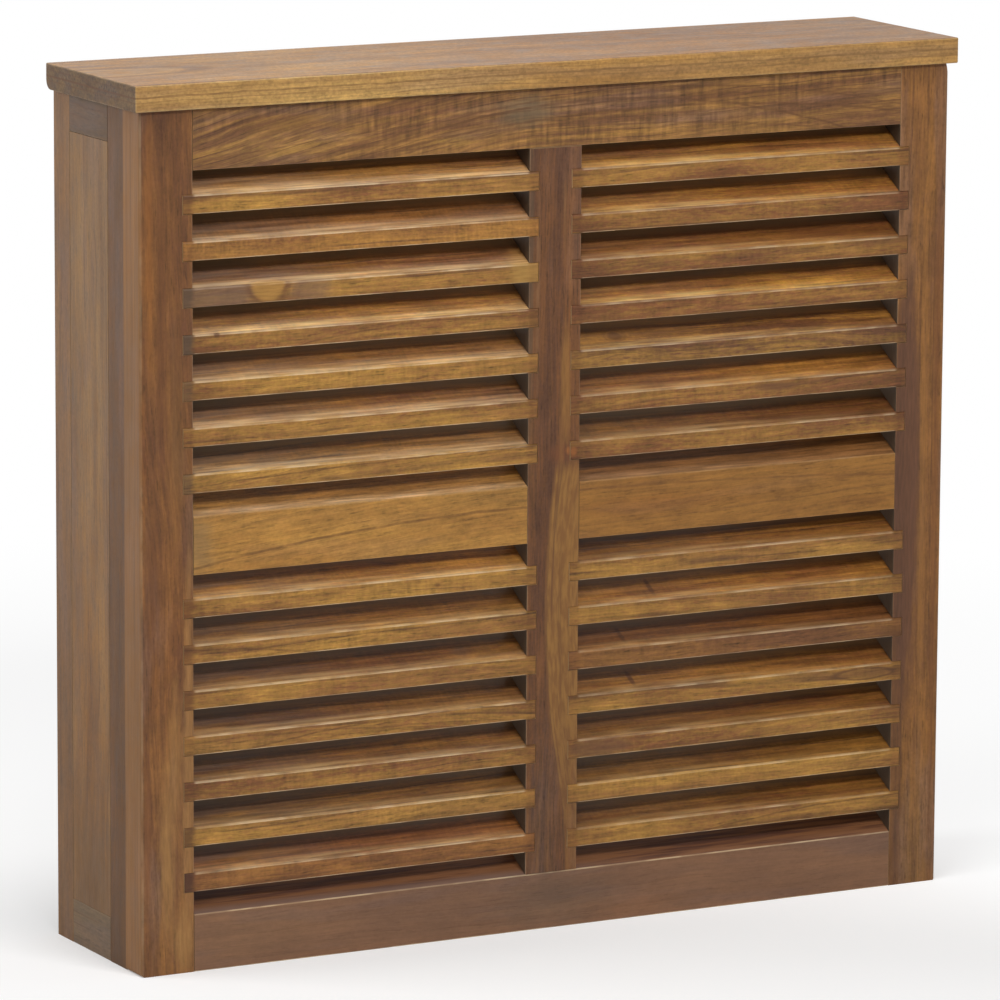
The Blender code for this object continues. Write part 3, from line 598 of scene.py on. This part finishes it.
def shade_louvre(graph, colour, point, masks, look):
    """Darker ends, and painted light on the slope: a redder tone for warm bounce light, a mauve reflection, a
    pale highlight and a reflection along its front, and painted shade deep in the gap.
    """
    along, _, deep = graph.parts(point)
    length = graph.math("ABSOLUTE", along)
    near_end = graph.step(length, OPENING_HALF - 0.05, OPENING_HALF, 0.0, 0.35)
    colour = graph.mix(near_end, colour, END_SHADE, "MULTIPLY")
    in_stile = graph.step(length, OPENING_HALF - 0.004, OPENING_HALF + 0.004, 0.0, 0.5)
    colour = graph.mix(in_stile, colour, JOINT_SHADE, "MULTIPLY")

    slope = masks["slope"]
    # The slope gets a redder tone, painted warm bounce light
    colour = graph.mix(slope, colour, graph.tint(colour, BOUNCE_LIGHT_TINT))
    # A painted mauve reflection on the slope, strongest towards the left
    mauve_reflection = graph.step(graph.noise(point, NOISE["mauve_reflection"]), 0.4, 0.65, 0.3, 1.0)
    mauve_reflection = graph.times(mauve_reflection, graph.step(along, *MAUVE_RUN, look["mauve_reflection"], 0.05))
    colour = graph.mix(graph.times(slope, mauve_reflection), colour, (*MAUVE, 1))
    # A pale painted highlight along the slope's front, less of it towards the right end
    kept = graph.step(along, *SHEEN_RUN, 1.0, look["right_end"])
    painted_highlight = graph.step(graph.noise(point, NOISE["painted_highlight"], 3.0, 0.6), 0.35, 0.65, 0.1, 0.55)
    painted_highlight = graph.times(graph.times(painted_highlight, graph.step(deep, *HIGHLIGHT_DEPTHS, 1.0, 0.0)), kept)
    colour = graph.mix(graph.times(slope, painted_highlight), colour, HIGHLIGHT_TONE)

    start = graph.vector("ADD", point, (look["seed"], 0.0, look["tilt"] * 0.1))
    streaks = graph.noise(start, NOISE["louvre_streaks"], 3.0, 0.6)
    bright = look["bright"]
    lit = graph.tint(colour, (bright, bright * max(bright, 1.0) ** 0.3, bright, 1.0))
    colour = graph.mix(slope, colour, graph.tint(lit, graph.around_one(streaks, 1.3)))
    # A painted reflection added along the front of the slope
    painted_reflection = graph.times(graph.step(deep, *REFLECTION_DEPTHS, look["painted_reflection"], 0.22 * look["painted_reflection"]),
                       graph.step(streaks, 0.35, 0.65, 0.5, 1.6))
    colour = graph.mix(graph.times(graph.times(painted_reflection, kept), slope), colour, REFLECTION_TINT, "ADD")
    # Deep in the gap the slope gets its painted shade
    return graph.mix(graph.step(deep, *GAP_DEPTHS, 0.0, 0.8), colour, (*look["gap"], 1))


def shade_rail(graph, colour, point, masks, look):
    """A middle rail's redder, streaked upper slope, tinted as painted shade, with a pale painted reflection
    along its front.
    """
    along, _, deep = graph.parts(point)
    streaks = graph.noise(point, NOISE["rail_streaks"], 3.0, 0.6)
    # The upper slope gets a tint that is painted shade
    redder = graph.tint(graph.tint(colour, look["slope_shade"]), graph.around_one(streaks, 1.8))
    colour = graph.mix(masks["slope"], colour, redder)
    # A painted reflection along the front of the slope, less of it towards the right
    painted_reflection = graph.times(graph.step(deep, *RAIL_REFLECTION_DEPTHS, look["painted_reflection"], 0.0),
                       graph.step(streaks, 0.35, 0.65, 0.5, 1.5))
    painted_reflection = graph.times(painted_reflection, graph.step(along, *RAIL_RUN, 1.0, look["right_end"]))
    return graph.mix(graph.times(painted_reflection, masks["slope"]), colour, REFLECTION_TINT, "ADD")


def shade_shelf(graph, colour, world, point, masks):
    """The bottom rail's streaked upper slope, with a painted mauve sheen along its front to the left."""
    along, _, deep = graph.parts(point)
    streaks = graph.noise(world, FRAME_NOISE["shelf_streaks"], 3.0, 0.6)
    shelf = graph.mix(graph.step(streaks, 0.36, 0.62), warm(SHELF_DARK), warm(SHELF_LIGHT))
    # A painted mauve sheen along the slope's front, fading to the right
    sheen = graph.times(graph.step(deep, *SHELF_DEPTHS, 0.8, 0.0), graph.step(along, *SHELF_RUN, 1.0, 0.25))
    shelf = graph.mix(sheen, shelf, (*MAUVE, 1))
    return graph.mix(masks["slope"], colour, shelf)


def steel_material():
    """Zinc plated steel, a little mottled."""
    material, graph = start_material("screw_steel")
    point = graph.add("ShaderNodeTexCoord").outputs["Object"]
    mottle = graph.noise(point, FRAME_NOISE["zinc"])
    colour = graph.mix(mottle, ZINC_DARK, ZINC_LIGHT)
    shader = graph.add("ShaderNodeBsdfPrincipled", {
        "Base Color": colour, "Metallic": 1.0, "Roughness": graph.step(mottle, 0.3, 0.7, 0.25, 0.42)})
    graph.add("ShaderNodeOutputMaterial", {"Surface": shader.outputs[0]})
    return material


# What single louvres have of their own
LOUVRE_MARKS = {
    ("left", 2): {"figure": 0.8, "speckle": 0.6, "fine": 1.1, "light": (0.45, 0.225, 0.055)},
    ("left", 3): {"patches": (
        Mark((-0.345, -0.09, 0.616), (0.05, 0.008, 0.03), MAUVE, 0.7, 0.5),
        Mark((-0.25, -0.09, 0.617), (0.028, 0.008, 0.02), MAUVE, 0.55, 0.6),
        Mark((-0.292, -0.09, 0.6254), (0.019, 0.006, 0.0175), (0.39, 0.21, 0.06), 0.85, 0.3, 0.45),
        Mark((0.0, -0.09, 0.616), (0.035, 0.05, 0.03), GOLD, 0.6, 0.8),
        Mark((-0.03, -0.09, 0.617), (0.022, 0.05, 0.03), (0.47, 0.28, 0.085), 0.7, 0.6))},
    ("left", 4): {"mauve_reflection": 0.2, "seams": (Seam(-0.1, 0.58, 0.5, 0.0012, 0.5),), "patches": (
        Mark((-0.343, -0.09, 0.582), (0.004, 0.05, 0.004), LINE, 0.7, 0.6),
        Mark((-0.31, -0.07, 0.597), (0.055, 0.008, 0.02), CHESTNUT, 0.6, 0.9))},
    ("left", 7): {"tilt": 0.05, "lines": 0.9, "seams": (Seam(-0.02, 0.4562, 0.09, 0.0011, 0.65),)},
    ("left", 8): {"patches": (Mark((-0.1205, -0.09, 0.335), (0.004, 0.05, 0.003), LINE, 0.5, 0.7),)},
    ("left", 9): {"seams": (Seam(-0.4, 0.2975, 0.55, 0.0012, 0.6),)},
    ("left", 10): {"patches": (Mark((-0.09, -0.075, 0.268), (0.014, 0.012, 0.03), MAUVE, 0.6, 0.8),)},
    ("left", 11): {"seams": (Seam(-0.1, 0.2165, 0.35, 0.0012, 0.6), Seam(-0.3, 0.2125, 0.3, 0.001, 0.4))},
    ("left", 14): {"light": (0.4, 0.185, 0.052), "patches": (
        Mark((-0.3, -0.075, 0.1), (0.06, 0.01, 0.03), GOLD, 0.5, 0.9),
        Mark((-0.12, -0.075, 0.1), (0.11, 0.014, 0.03), (0.2, 0.075, 0.03), 0.45, 0.9))},
    ("right", 3): {"patches": (Mark((0.29, -0.075, 0.632), (0.08, 0.014, 0.03), CHESTNUT, 0.65, 0.9),)},
    ("right", 5): {"dark": (0.125, 0.055, 0.03), "streaks": 2.8, "wander": 2.0, "patches": (
        Mark((0.07, -0.075, 0.5495), (0.01, 0.01, 0.006), (0.1, 0.045, 0.022), 0.8, 0.6, 0.4),
        Mark((0.115, -0.075, 0.5495), (0.05, 0.01, 0.004), (0.12, 0.055, 0.03), 0.6, 0.9))},
    ("right", 6): {"patches": (
        Mark((0.235, -0.09, 0.4925), (0.03, 0.05, 0.0055), (0.155, 0.07, 0.036), 0.75, 0.7),)},
    ("right", 7): {"patches": (
        Mark((0.0205, -0.09, 0.448), (0.005, 0.05, 0.006), (0.4, 0.155, 0.045), 0.8, 0.7),)},
    ("right", 8): {"patches": (
        Mark((0.17, -0.09, 0.334), (0.06, 0.05, 0.004), PLUM, 0.6, 0.8),
        Mark((0.09, -0.083, 0.345), (0.07, 0.004, 0.02), MAUVE, 0.5, 0.9))},
    ("right", 9): {"patches": (Mark((0.11, -0.075, 0.312), (0.0035, 0.014, 0.03), LINE, 0.8, 0.6),)},
    ("right", 10): {"light": HONEY, "dark": (0.15, 0.066, 0.03), "patches": (
        Mark((0.079, -0.075, 0.27), (0.0035, 0.014, 0.03), LINE, 0.8, 0.6),)},
    ("right", 11): {"patches": (
        Mark((0.09, -0.075, 0.228), (0.0035, 0.014, 0.03), LINE, 0.8, 0.6),
        Mark((0.335, -0.09, 0.2095), (0.03, 0.05, 0.005), (0.26, 0.125, 0.045), 0.4, 0.4, 0.7))},
    ("right", 12): {"patches": (
        Mark((0.05, -0.09, 0.167), (0.037, 0.05, 0.01), (0.165, 0.08, 0.046), 0.6, 0.3),)},
    ("right", 13): {"patches": (
        Mark((0.372, -0.09, 0.125), (0.006, 0.05, 0.009), (0.42, 0.2, 0.06), 0.6, 0.8),)},
    ("right", 14): {"seams": (Seam(0.36, 0.089, 0.35, 0.0011, 0.6),)},
}


# The top board, the boards of the front frame but the louvres, and the back rail
BOARD_LOOKS = {
    "top_board": {
        "grain": "x", "light": (0.375, 0.198, 0.073), "dark": (0.22, 0.105, 0.042), "pith": (0, 0.16, -0.03),
        "spacing": 0.009, "tilt": 0.004, "seed": 3.1, "darkness": 0.46, "streaks": 2.2, "gloss": 0.37,
        "lines": 0.55, "flame": 0.12, "speckle": 0.9, "fine": 1.2,
        "patches": (
            Mark((-0.41, 0.0, 0.81), (0.09, 0.028, 0.05), (0.41, 0.225, 0.08), 0.35, 0.4, 0.65),
            Mark((-0.41, 0.0, 0.81), (0.048, 0.013, 0.05), STRAW, 0.0, 0.5, 0.3),
            Mark((-0.41, 0.0, 0.81), (0.15, 0.048, 0.05), STRAW, 0.0, 0.3, 0.3),
            Mark((-0.072, 0.038, 0.81), (0.012, 0.006, 0.05), LINE, 0.5, 0.8)),
        "washes": (
            Wash((-0.26, 0.0, 0.81), (0.2, 0.2, 0.006), (1.13, 1.17, 1.08)),
            Wash((0.2, 0.0, 0.81), (0.4, 0.2, 0.006), (0.91, 0.8, 0.58)),
            Wash((0.06, -0.095, 0.79), (0.16, 0.01, 0.03), (0.8, 0.72, 0.58)),
            Wash((-0.25, -0.095, 0.79), (0.26, 0.01, 0.03), (1.2, 1.32, 1.38)),
            Wash((0.26, -0.095, 0.79), (0.12, 0.01, 0.03), (0.84, 0.82, 0.84))),
        "seams": (Seam(0.1, 0.8, 0.003, 0.0013, 0.8), Seam(-0.1, 0.7955, 0.006, 0.001, 0.5),
                  Seam(-0.2, 0.805, 0.004, 0.0009, 0.35))},
    "front_stile_left": {
        "grain": "z", "light": (0.25, 0.108, 0.036), "dark": (0.125, 0.052, 0.026), "pith": (0, 0.09, 0.02),
        "spacing": 0.018, "seed": 5.3, "darkness": 0.58, "streaks": 1.8, "broad": 2.0, "lines": 0.4,
        "wander": 1.5, "tilt": -0.05, "flame": 0.15, "fine": 1.2,
        "patches": (
            Mark((-0.41, -0.09, 0.66), (0.006, 0.01, 0.16), ORANGE, 0.6, 0.9),
            Mark((-0.398, -0.09, 0.6), (0.006, 0.01, 0.16), CHESTNUT, 0.55, 0.8),
            Mark((-0.384, -0.09, 0.48), (0.012, 0.01, 0.13), (0.3, 0.14, 0.046), 0.5, 0.9),
            Mark((-0.408, -0.09, 0.36), (0.009, 0.01, 0.1), (0.16, 0.066, 0.03), 0.5, 0.9),
            Mark((-0.3935, -0.09, 0.11), (0.012, 0.01, 0.11), (0.335, 0.17, 0.062), 0.6, 0.9),
            Mark((-0.385, -0.09, 0.2), (0.01, 0.01, 0.1), (0.335, 0.17, 0.062), 0.6, 0.9),
            Mark((-0.371, -0.09, 0.2), (0.009, 0.01, 0.24), (0.36, 0.185, 0.072), 0.75, 0.8),
            Mark((-0.376, -0.09, 0.03), (0.014, 0.01, 0.05), (0.38, 0.205, 0.08), 0.6, 1.0),
            Mark((-0.4125, -0.09, 0.12), (0.004, 0.01, 0.1), (0.22, 0.088, 0.038), 0.6, 0.8),
            Mark((-0.3835, -0.09, 0.1), (0.002, 0.01, 0.08), CHESTNUT, 0.5, 0.9)),
        "washes": (
            Wash((-0.393, -0.09, 0.7), (0.03, 0.01, 0.22), (0.8, 0.79, 0.8)),
            Wash((-0.382, -0.09, 0.48), (0.012, 0.01, 0.1), (0.76, 0.77, 0.78)),
            Wash((-0.4155, -0.09, 0.5), (0.006, 0.01, 0.1), (1.2, 1.14, 0.95)),
            Wash((-0.393, -0.09, 0.3), (0.03, 0.01, 0.12), (1.22, 1.18, 1.02)),
            Wash((-0.393, -0.09, 0.07), (0.03, 0.01, 0.22), (1.28, 1.36, 1.36)))},
    "front_stile_right": {
        "grain": "z", "light": (0.285, 0.128, 0.038), "dark": (0.155, 0.068, 0.03), "pith": (0, -0.1, 0.02),
        "spacing": 0.016, "seed": 8.2, "darkness": 0.45, "streaks": 1.4, "lines": 0.5, "flame": 0.1,
        "fine": 1.4,
        "patches": (
            Mark((0.3785, -0.09, 0.39), (0.0175, 0.01, 0.24), (0.132, 0.06, 0.037), 0.95, 0.4),
            Mark((0.372, -0.09, 0.2), (0.01, 0.01, 0.45), PLUM, 0.5, 0.6),
            Mark((0.3975, -0.09, 0.4), (0.0055, 0.01, 0.36), (0.295, 0.138, 0.048), 0.55, 1.0),
            Mark((0.411, -0.09, 0.4), (0.005, 0.01, 0.5), (0.2, 0.078, 0.03), 0.5, 0.8),
            Mark((0.4065, -0.09, 0.5), (0.0012, 0.01, 0.35), LINE, 0.5, 0.8)),
        "washes": (Wash((0.393, -0.09, 0.03), (0.03, 0.01, 0.12), (1.0, 1.12, 1.34)),)},
    "front_mullion": {
        "grain": "z", "light": (0.222, 0.092, 0.033), "dark": (0.107, 0.047, 0.027), "pith": (0, -0.07, 0.01),
        "spacing": 0.012, "seed": 11.9, "darkness": 0.62, "streaks": 2.8, "tilt": 0.02,
        "staining": 0.2, "fine": 1.3,
        "patches": (
            Mark((0.012, -0.09, 0.51), (0.007, 0.01, 0.07), (0.3, 0.145, 0.045), 0.7, 0.7),
            Mark((0.008, -0.09, 0.447), (0.02, 0.01, 0.012), (0.17, 0.064, 0.03), 0.7, 0.8),
            Mark((0.0165, -0.09, 0.449), (0.006, 0.01, 0.005), (0.33, 0.125, 0.04), 0.7, 0.7, 0.2),
            Mark((-0.0245, -0.09, 0.6), (0.004, 0.01, 0.2), SLATE, 0.5, 0.8),
            Mark((-0.0178, -0.09, 0.6), (0.0034, 0.01, 0.13), (0.235, 0.118, 0.06), 0.7, 0.9),
            Mark((0.01, -0.09, 0.67), (0.0025, 0.01, 0.06), (0.24, 0.12, 0.055), 0.5, 0.9),
            Mark((0.008, -0.09, 0.465), (0.0045, 0.01, 0.045), (0.26, 0.118, 0.042), 0.7, 0.9)),
        "washes": (
            Wash((-0.01, -0.09, 0.08), (0.03, 0.01, 0.17), (0.9, 1.06, 1.38)),
            Wash((-0.023, -0.09, 0.43), (0.008, 0.01, 0.09), (0.8, 0.84, 0.9)),
            Wash((-0.005, -0.09, 0.75), (0.03, 0.01, 0.05), (0.9, 0.92, 0.96)))},
    "front_top_rail": {
        "grain": "x", "light": (0.345, 0.18, 0.053), "dark": (0.155, 0.071, 0.033), "pith": (0, -0.12, 0.03),
        "spacing": 0.008, "seed": 14.4, "darkness": 0.66, "streaks": 2.9, "figure": 1.25, "flame": 0.3,
        "tilt": 0.1, "bend": -0.16, "lines": 1.0, "wander": 1.8, "fine": 1.05,
        "patches": (
            Mark((-0.03, -0.09, 0.765), (0.036, 0.05, 0.02), (0.145, 0.105, 0.068), 0.7, 0.8),),
        "washes": (
            Wash((-0.285, -0.09, 0.748), (0.1, 0.05, 0.017), (1.45, 1.6, 1.45)),
            Wash((-0.35, -0.09, 0.765), (0.05, 0.05, 0.02), (0.88, 0.88, 1.0)),
            Wash((-0.105, -0.09, 0.742), (0.03, 0.05, 0.007), (1.45, 1.6, 1.35)),
            Wash((-0.17, -0.09, 0.775), (0.1, 0.05, 0.01), (0.9, 0.84, 0.9)),
            Wash((0.09, -0.09, 0.742), (0.09, 0.05, 0.01), (1.35, 1.4, 1.15)),
            Wash((0.18, -0.09, 0.77), (0.19, 0.05, 0.012), (0.9, 0.88, 0.86))),
        "seams": (
            Seam(0.05, 0.772, 0.62, 0.0016, 0.65), Seam(0.1, 0.78, 0.42, 0.0012, 0.5),
            Seam(0.12, 0.762, 0.3, 0.0016, 0.6), Seam(0.05, 0.748, 0.28, 0.0012, 0.55),
            Seam(0.16, 0.77, 0.12, 0.001, 0.45), Seam(0.22, 0.756, 0.08, 0.001, 0.4))},
    "front_bottom_rail": {
        "grain": "x", "light": (0.262, 0.135, 0.082), "dark": (0.185, 0.098, 0.066),
        "pith": (0, 0.11, 0.04), "spacing": 0.016, "seed": 17.8, "streaks": 1.2, "lines": 0.2, "fine": 0.5,
        "wear_and_highlight": 0.9, "washes": (
            Wash((-0.3, -0.09, 0.03), (0.12, 0.05, 0.04), (1.06, 1.08, 1.04)),
            Wash((-0.12, -0.09, 0.03), (0.12, 0.05, 0.04), (0.94, 0.96, 1.0)),
            Wash((0.0, -0.09, 0.03), (0.09, 0.05, 0.04), (0.8, 0.89, 0.98)),
            Wash((0.09, -0.09, 0.01), (0.06, 0.05, 0.02), (1.12, 1.07, 1.0)))},
    "front_mid_rail_left": {
        "grain": "x", "light": (0.43, 0.225, 0.06), "dark": (0.31, 0.145, 0.04), "pith": (0, 0.13, 0.05),
        "spacing": 0.022, "seed": 21.2, "tilt": 0.07, "darkness": 0.35, "lines": 0.15, "streaks": 1.4,
        "staining": 0.1, "flame": 0.12, "seams": (Seam(-0.03, 0.3995, 0.25, 0.0018, 0.6),),
        "slope_shade": (1.0, 0.95, 1.0, 1.0), "painted_reflection": 0.125, "right_end": 0.8,
        "patches": (Mark((-0.36, -0.09, 0.392), (0.02, 0.05, 0.04), (0.22, 0.145, 0.08), 0.5, 0.8),),
        "fine": 1.2, "washes": (
            Wash((-0.27, -0.09, 0.382), (0.15, 0.05, 0.022), (1.16, 1.18, 1.12)),
            Wash((-0.05, -0.09, 0.411), (0.06, 0.05, 0.013), (0.76, 0.77, 0.82)))},
    "front_mid_rail_right": {
        "grain": "x", "light": (0.33, 0.157, 0.04), "dark": (0.228, 0.102, 0.029), "pith": (0, 0.12, 0.05),
        "spacing": 0.026, "seed": 24.7, "tilt": 0.03, "darkness": 0.5, "lines": 0.3, "streaks": 1.4,
        "staining": 0.1, "flame": 0.1, "slope_shade": (0.88, 0.82, 0.98, 1.0), "painted_reflection": 0.045, "right_end": 0.2,
        "seams": (Seam(0.02, 0.411, 0.1, 0.0016, 0.4),), "washes": (
            Wash((0.12, -0.09, 0.393), (0.12, 0.05, 0.012), (1.15, 1.1, 0.98)),
            Wash((0.34, -0.09, 0.376), (0.06, 0.05, 0.012), (0.82, 0.78, 0.78)))},
    "back_rail": {"grain": "x", "light": DRAB, "dark": SLATE, "pith": (0, 0.1, 0.03), "spacing": 0.012,
                  "seed": 31.0},
}

# The boards of a side: name, grain, light tone and dark tone
SIDE_BOARDS = (
    ("front_stile", "z", (0.155, 0.064, 0.016), (0.104, 0.046, 0.014)),
    ("back_stile", "z", (0.248, 0.126, 0.054), (0.175, 0.087, 0.039)),
    ("top_rail", "y", (0.117, 0.062, 0.0265), (0.089, 0.048, 0.0215)),
    ("bottom_rail", "y", (0.2, 0.128, 0.074), (0.148, 0.097, 0.06)),
    ("panel", "z", (0.285, 0.161, 0.071), (0.184, 0.094, 0.041)))
SIDE_SEEDS = {"left": 40.0, "right": 60.0}
SIDE_MARKS = {
    "side_left_back_stile": {
        "patches": (Mark((-0.418, 0.092, 0.67), (0.05, 0.006, 0.055), (0.13, 0.07, 0.042), 0.6, 0.7, 0.3),)},
    "side_left_panel": {
        "patches": (Mark((-0.418, 0.022, 0.05), (0.05, 0.07, 0.13), (0.16, 0.092, 0.048), 0.8, 0.9),),
        "washes": (Wash((-0.418, 0.022, 0.18), (0.05, 0.09, 0.44), (1.0, 0.86, 0.62)),)}}

# The softwood pieces, with their grain
PINE_PIECES = (("cleat_front", "x"), ("cleat_left", "y"), ("cleat_right", "y"), ("dowel_left_low", "y"),
               ("dowel_left_high", "y"), ("dowel_right_low", "y"), ("dowel_right_high", "y"))


def louvre_look(word, number):
    """One louvre's look."""
    louvres, seed, painted_reflections, column = COLUMNS[word]
    bank = 0 if number <= BANK else 1
    darkness, tilt, bright = louvres[number - 1]
    look = {"grain": "x", "light": GOLD, "dark": RUSSET, "pith": (0, 0.06 + 0.013 * (number % 5), 0.05),
            "spacing": 0.012 + 0.003 * (number % 4), "tilt": tilt, "seed": number * 1.37 + seed,
            "darkness": darkness, "figure": 0.3, "stain": RUSSET, "flame": 0.15, "gap": PAINTED_GAP_SHADES[bank],
            "bright": bright, "painted_reflection": painted_reflections[bank], **column, **LOUVRE_MARKS.get((word, number), {})}
    if word == "left" and number in LEFT_TABS:
        low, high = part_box(f"louvre_left_{number:02d}")
        place = (TAB_MIDDLE, low[1], (low[2] + high[2]) / 2)
        tab = Mark(place, (0.013, 0.06, 0.06), *LEFT_TABS[number], 0.5)
        look["patches"] = (*look.get("patches", ()), tab)
    return look


def board_looks():
    """The look of each wooden node, by name."""
    looks = dict(BOARD_LOOKS)
    for word in COLUMNS:
        for number in range(1, 2 * BANK + 1):
            looks[f"louvre_{word}_{number:02d}"] = louvre_look(word, number)
    for side, start in SIDE_SEEDS.items():
        for step, (name, grain, light, dark) in enumerate(SIDE_BOARDS):
            looks[f"side_{side}_{name}"] = {
                "grain": grain, "light": light, "dark": dark, "pith": (0, 0.14, 0.06), "spacing": 0.01,
                "seed": start + 3.7 * step, "lines": 0.5, "streaks": 2.6}
    for name, marks in SIDE_MARKS.items():
        looks[name].update(marks)
    for step, (name, grain) in enumerate(PINE_PIECES):
        looks[name] = {"grain": grain, "light": PINE, "dark": STRAW, "pith": (0, 0.05, 0.02),
                       "spacing": 0.006, "seed": 80.0 + step, "darkness": 0.3, "lines": 0.4}
    return looks


def dress_nodes():
    """Gives each CAD node its material."""
    steel = steel_material()
    looks = board_looks()
    for name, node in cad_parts.items():
        material = timber_material(name, looks[name]) if name in looks else steel
        for place in node.material_slots:
            place.material = material


def seen_rays(graph):
    """1 for the rays that carry the white studio to the eye: camera, glossy and transmission rays."""
    path = graph.add("ShaderNodeLightPath").outputs
    seen = graph.most(path["Is Camera Ray"], path["Is Glossy Ray"])
    return graph.most(seen, path["Is Transmission Ray"])


def build_floor():
    """A pale floor that fades into the white background."""
    bpy.ops.mesh.primitive_circle_add(vertices=96, radius=FLOOR_RADIUS, fill_type="NGON")
    floor = bpy.context.object
    floor.name = "studio_floor"
    material, graph = start_material("studio_floor")
    grey = (FLOOR_WHITE, FLOOR_WHITE, FLOOR_WHITE, 1)
    plain = graph.add("ShaderNodeBsdfDiffuse", {"Color": grey}).outputs[0]
    place = graph.add("ShaderNodeTexCoord").outputs["Object"]
    distance = graph.vector("LENGTH", graph.vector("SUBTRACT", place, FADE_CENTRE))
    camera_ray = graph.add("ShaderNodeLightPath").outputs["Is Camera Ray"]
    depth = graph.vector("LENGTH", graph.vector("SUBTRACT", place, LIFT_CENTRE))
    glow = graph.times(graph.step(depth, *LIFT_SPAN, *LIFTS), camera_ray)
    lift = graph.add("ShaderNodeEmission", {"Strength": glow}).outputs[0]
    near = graph.add("ShaderNodeAddShader", {0: plain, 1: lift}).outputs[0]
    white = graph.add("ShaderNodeEmission", {"Strength": 1.0}).outputs[0]
    fade = graph.step(distance, *FADE_SPAN)
    faded = graph.add("ShaderNodeMixShader", {0: fade, 1: near, 2: white}).outputs[0]
    shown = graph.add("ShaderNodeMixShader", {0: seen_rays(graph), 1: plain, 2: faded}).outputs[0]
    graph.add("ShaderNodeOutputMaterial", {"Surface": shown})
    floor.data.materials.append(material)


def build_world():
    """White to the eye, darker in reflections from the camera's side, and a soft grey as a light."""
    world = bpy.data.worlds.new("studio")
    bpy.context.scene.world = world
    world.use_nodes = True
    world.node_tree.nodes.clear()
    graph = Graph(world.node_tree)
    path = graph.add("ShaderNodeLightPath").outputs
    heading = graph.parts(graph.add("ShaderNodeTexCoord").outputs["Generated"])
    mirrored = graph.step(heading[1], -0.4, 0.5, FRONT_DARKNESS, 1.0)
    glossy = graph.most(path["Is Glossy Ray"], path["Is Transmission Ray"])
    strength = graph.math("MULTIPLY_ADD", glossy, graph.minus(mirrored, AMBIENT), AMBIENT)
    strength = graph.most(strength, path["Is Camera Ray"])
    background = graph.add("ShaderNodeBackground", {"Color": (1, 1, 1, 1), "Strength": strength})
    graph.add("ShaderNodeOutputWorld", {"Surface": background.outputs[0]})


def add_lamp(name, azimuth, elevation, distance, size, watts):
    """A soft rectangular lamp aimed at the cover; azimuth 0 is straight in front."""
    data = bpy.data.lights.new(name, "AREA")
    data.shape = "RECTANGLE"
    data.size, data.size_y = size
    data.energy = watts
    lamp = bpy.data.objects.new(name, data)
    turn, lift = math.radians(azimuth), math.radians(elevation)
    away = Vector((math.sin(turn) * math.cos(lift), -math.cos(turn) * math.cos(lift), math.sin(lift)))
    lamp.location = LAMP_TARGET + distance * away
    lamp.rotation_euler = (-away).to_track_quat("-Z", "Y").to_euler()
    bpy.context.scene.collection.objects.link(lamp)


def add_camera():
    """The photograph's view."""
    data = bpy.data.cameras.new("camera")
    data.lens = CAMERA_LENS
    data.clip_end = 100.0
    camera = bpy.data.objects.new("camera", data)
    forward = Vector((math.sin(CAMERA_YAW) * math.cos(CAMERA_PITCH),
                      math.cos(CAMERA_YAW) * math.cos(CAMERA_PITCH), -math.sin(CAMERA_PITCH)))
    right = Vector((math.cos(CAMERA_YAW), -math.sin(CAMERA_YAW), 0))
    turn = Matrix((right, right.cross(forward), -forward)).transposed().to_4x4()
    camera.matrix_world = Matrix.Translation(CAMERA_PLACE) @ turn @ Matrix.Rotation(CAMERA_ROLL, 4, "Z")
    bpy.context.scene.collection.objects.link(camera)
    bpy.context.scene.camera = camera


timber = build_timber()
patch = build_patch()
dress_nodes()
build_floor()
build_world()
add_lamp("key", **KEY)
add_lamp("overhead", **OVERHEAD)
add_lamp("side_fill", **SIDE_FILL)
add_camera()
bpy.context.scene.view_settings.view_transform = "Standard"
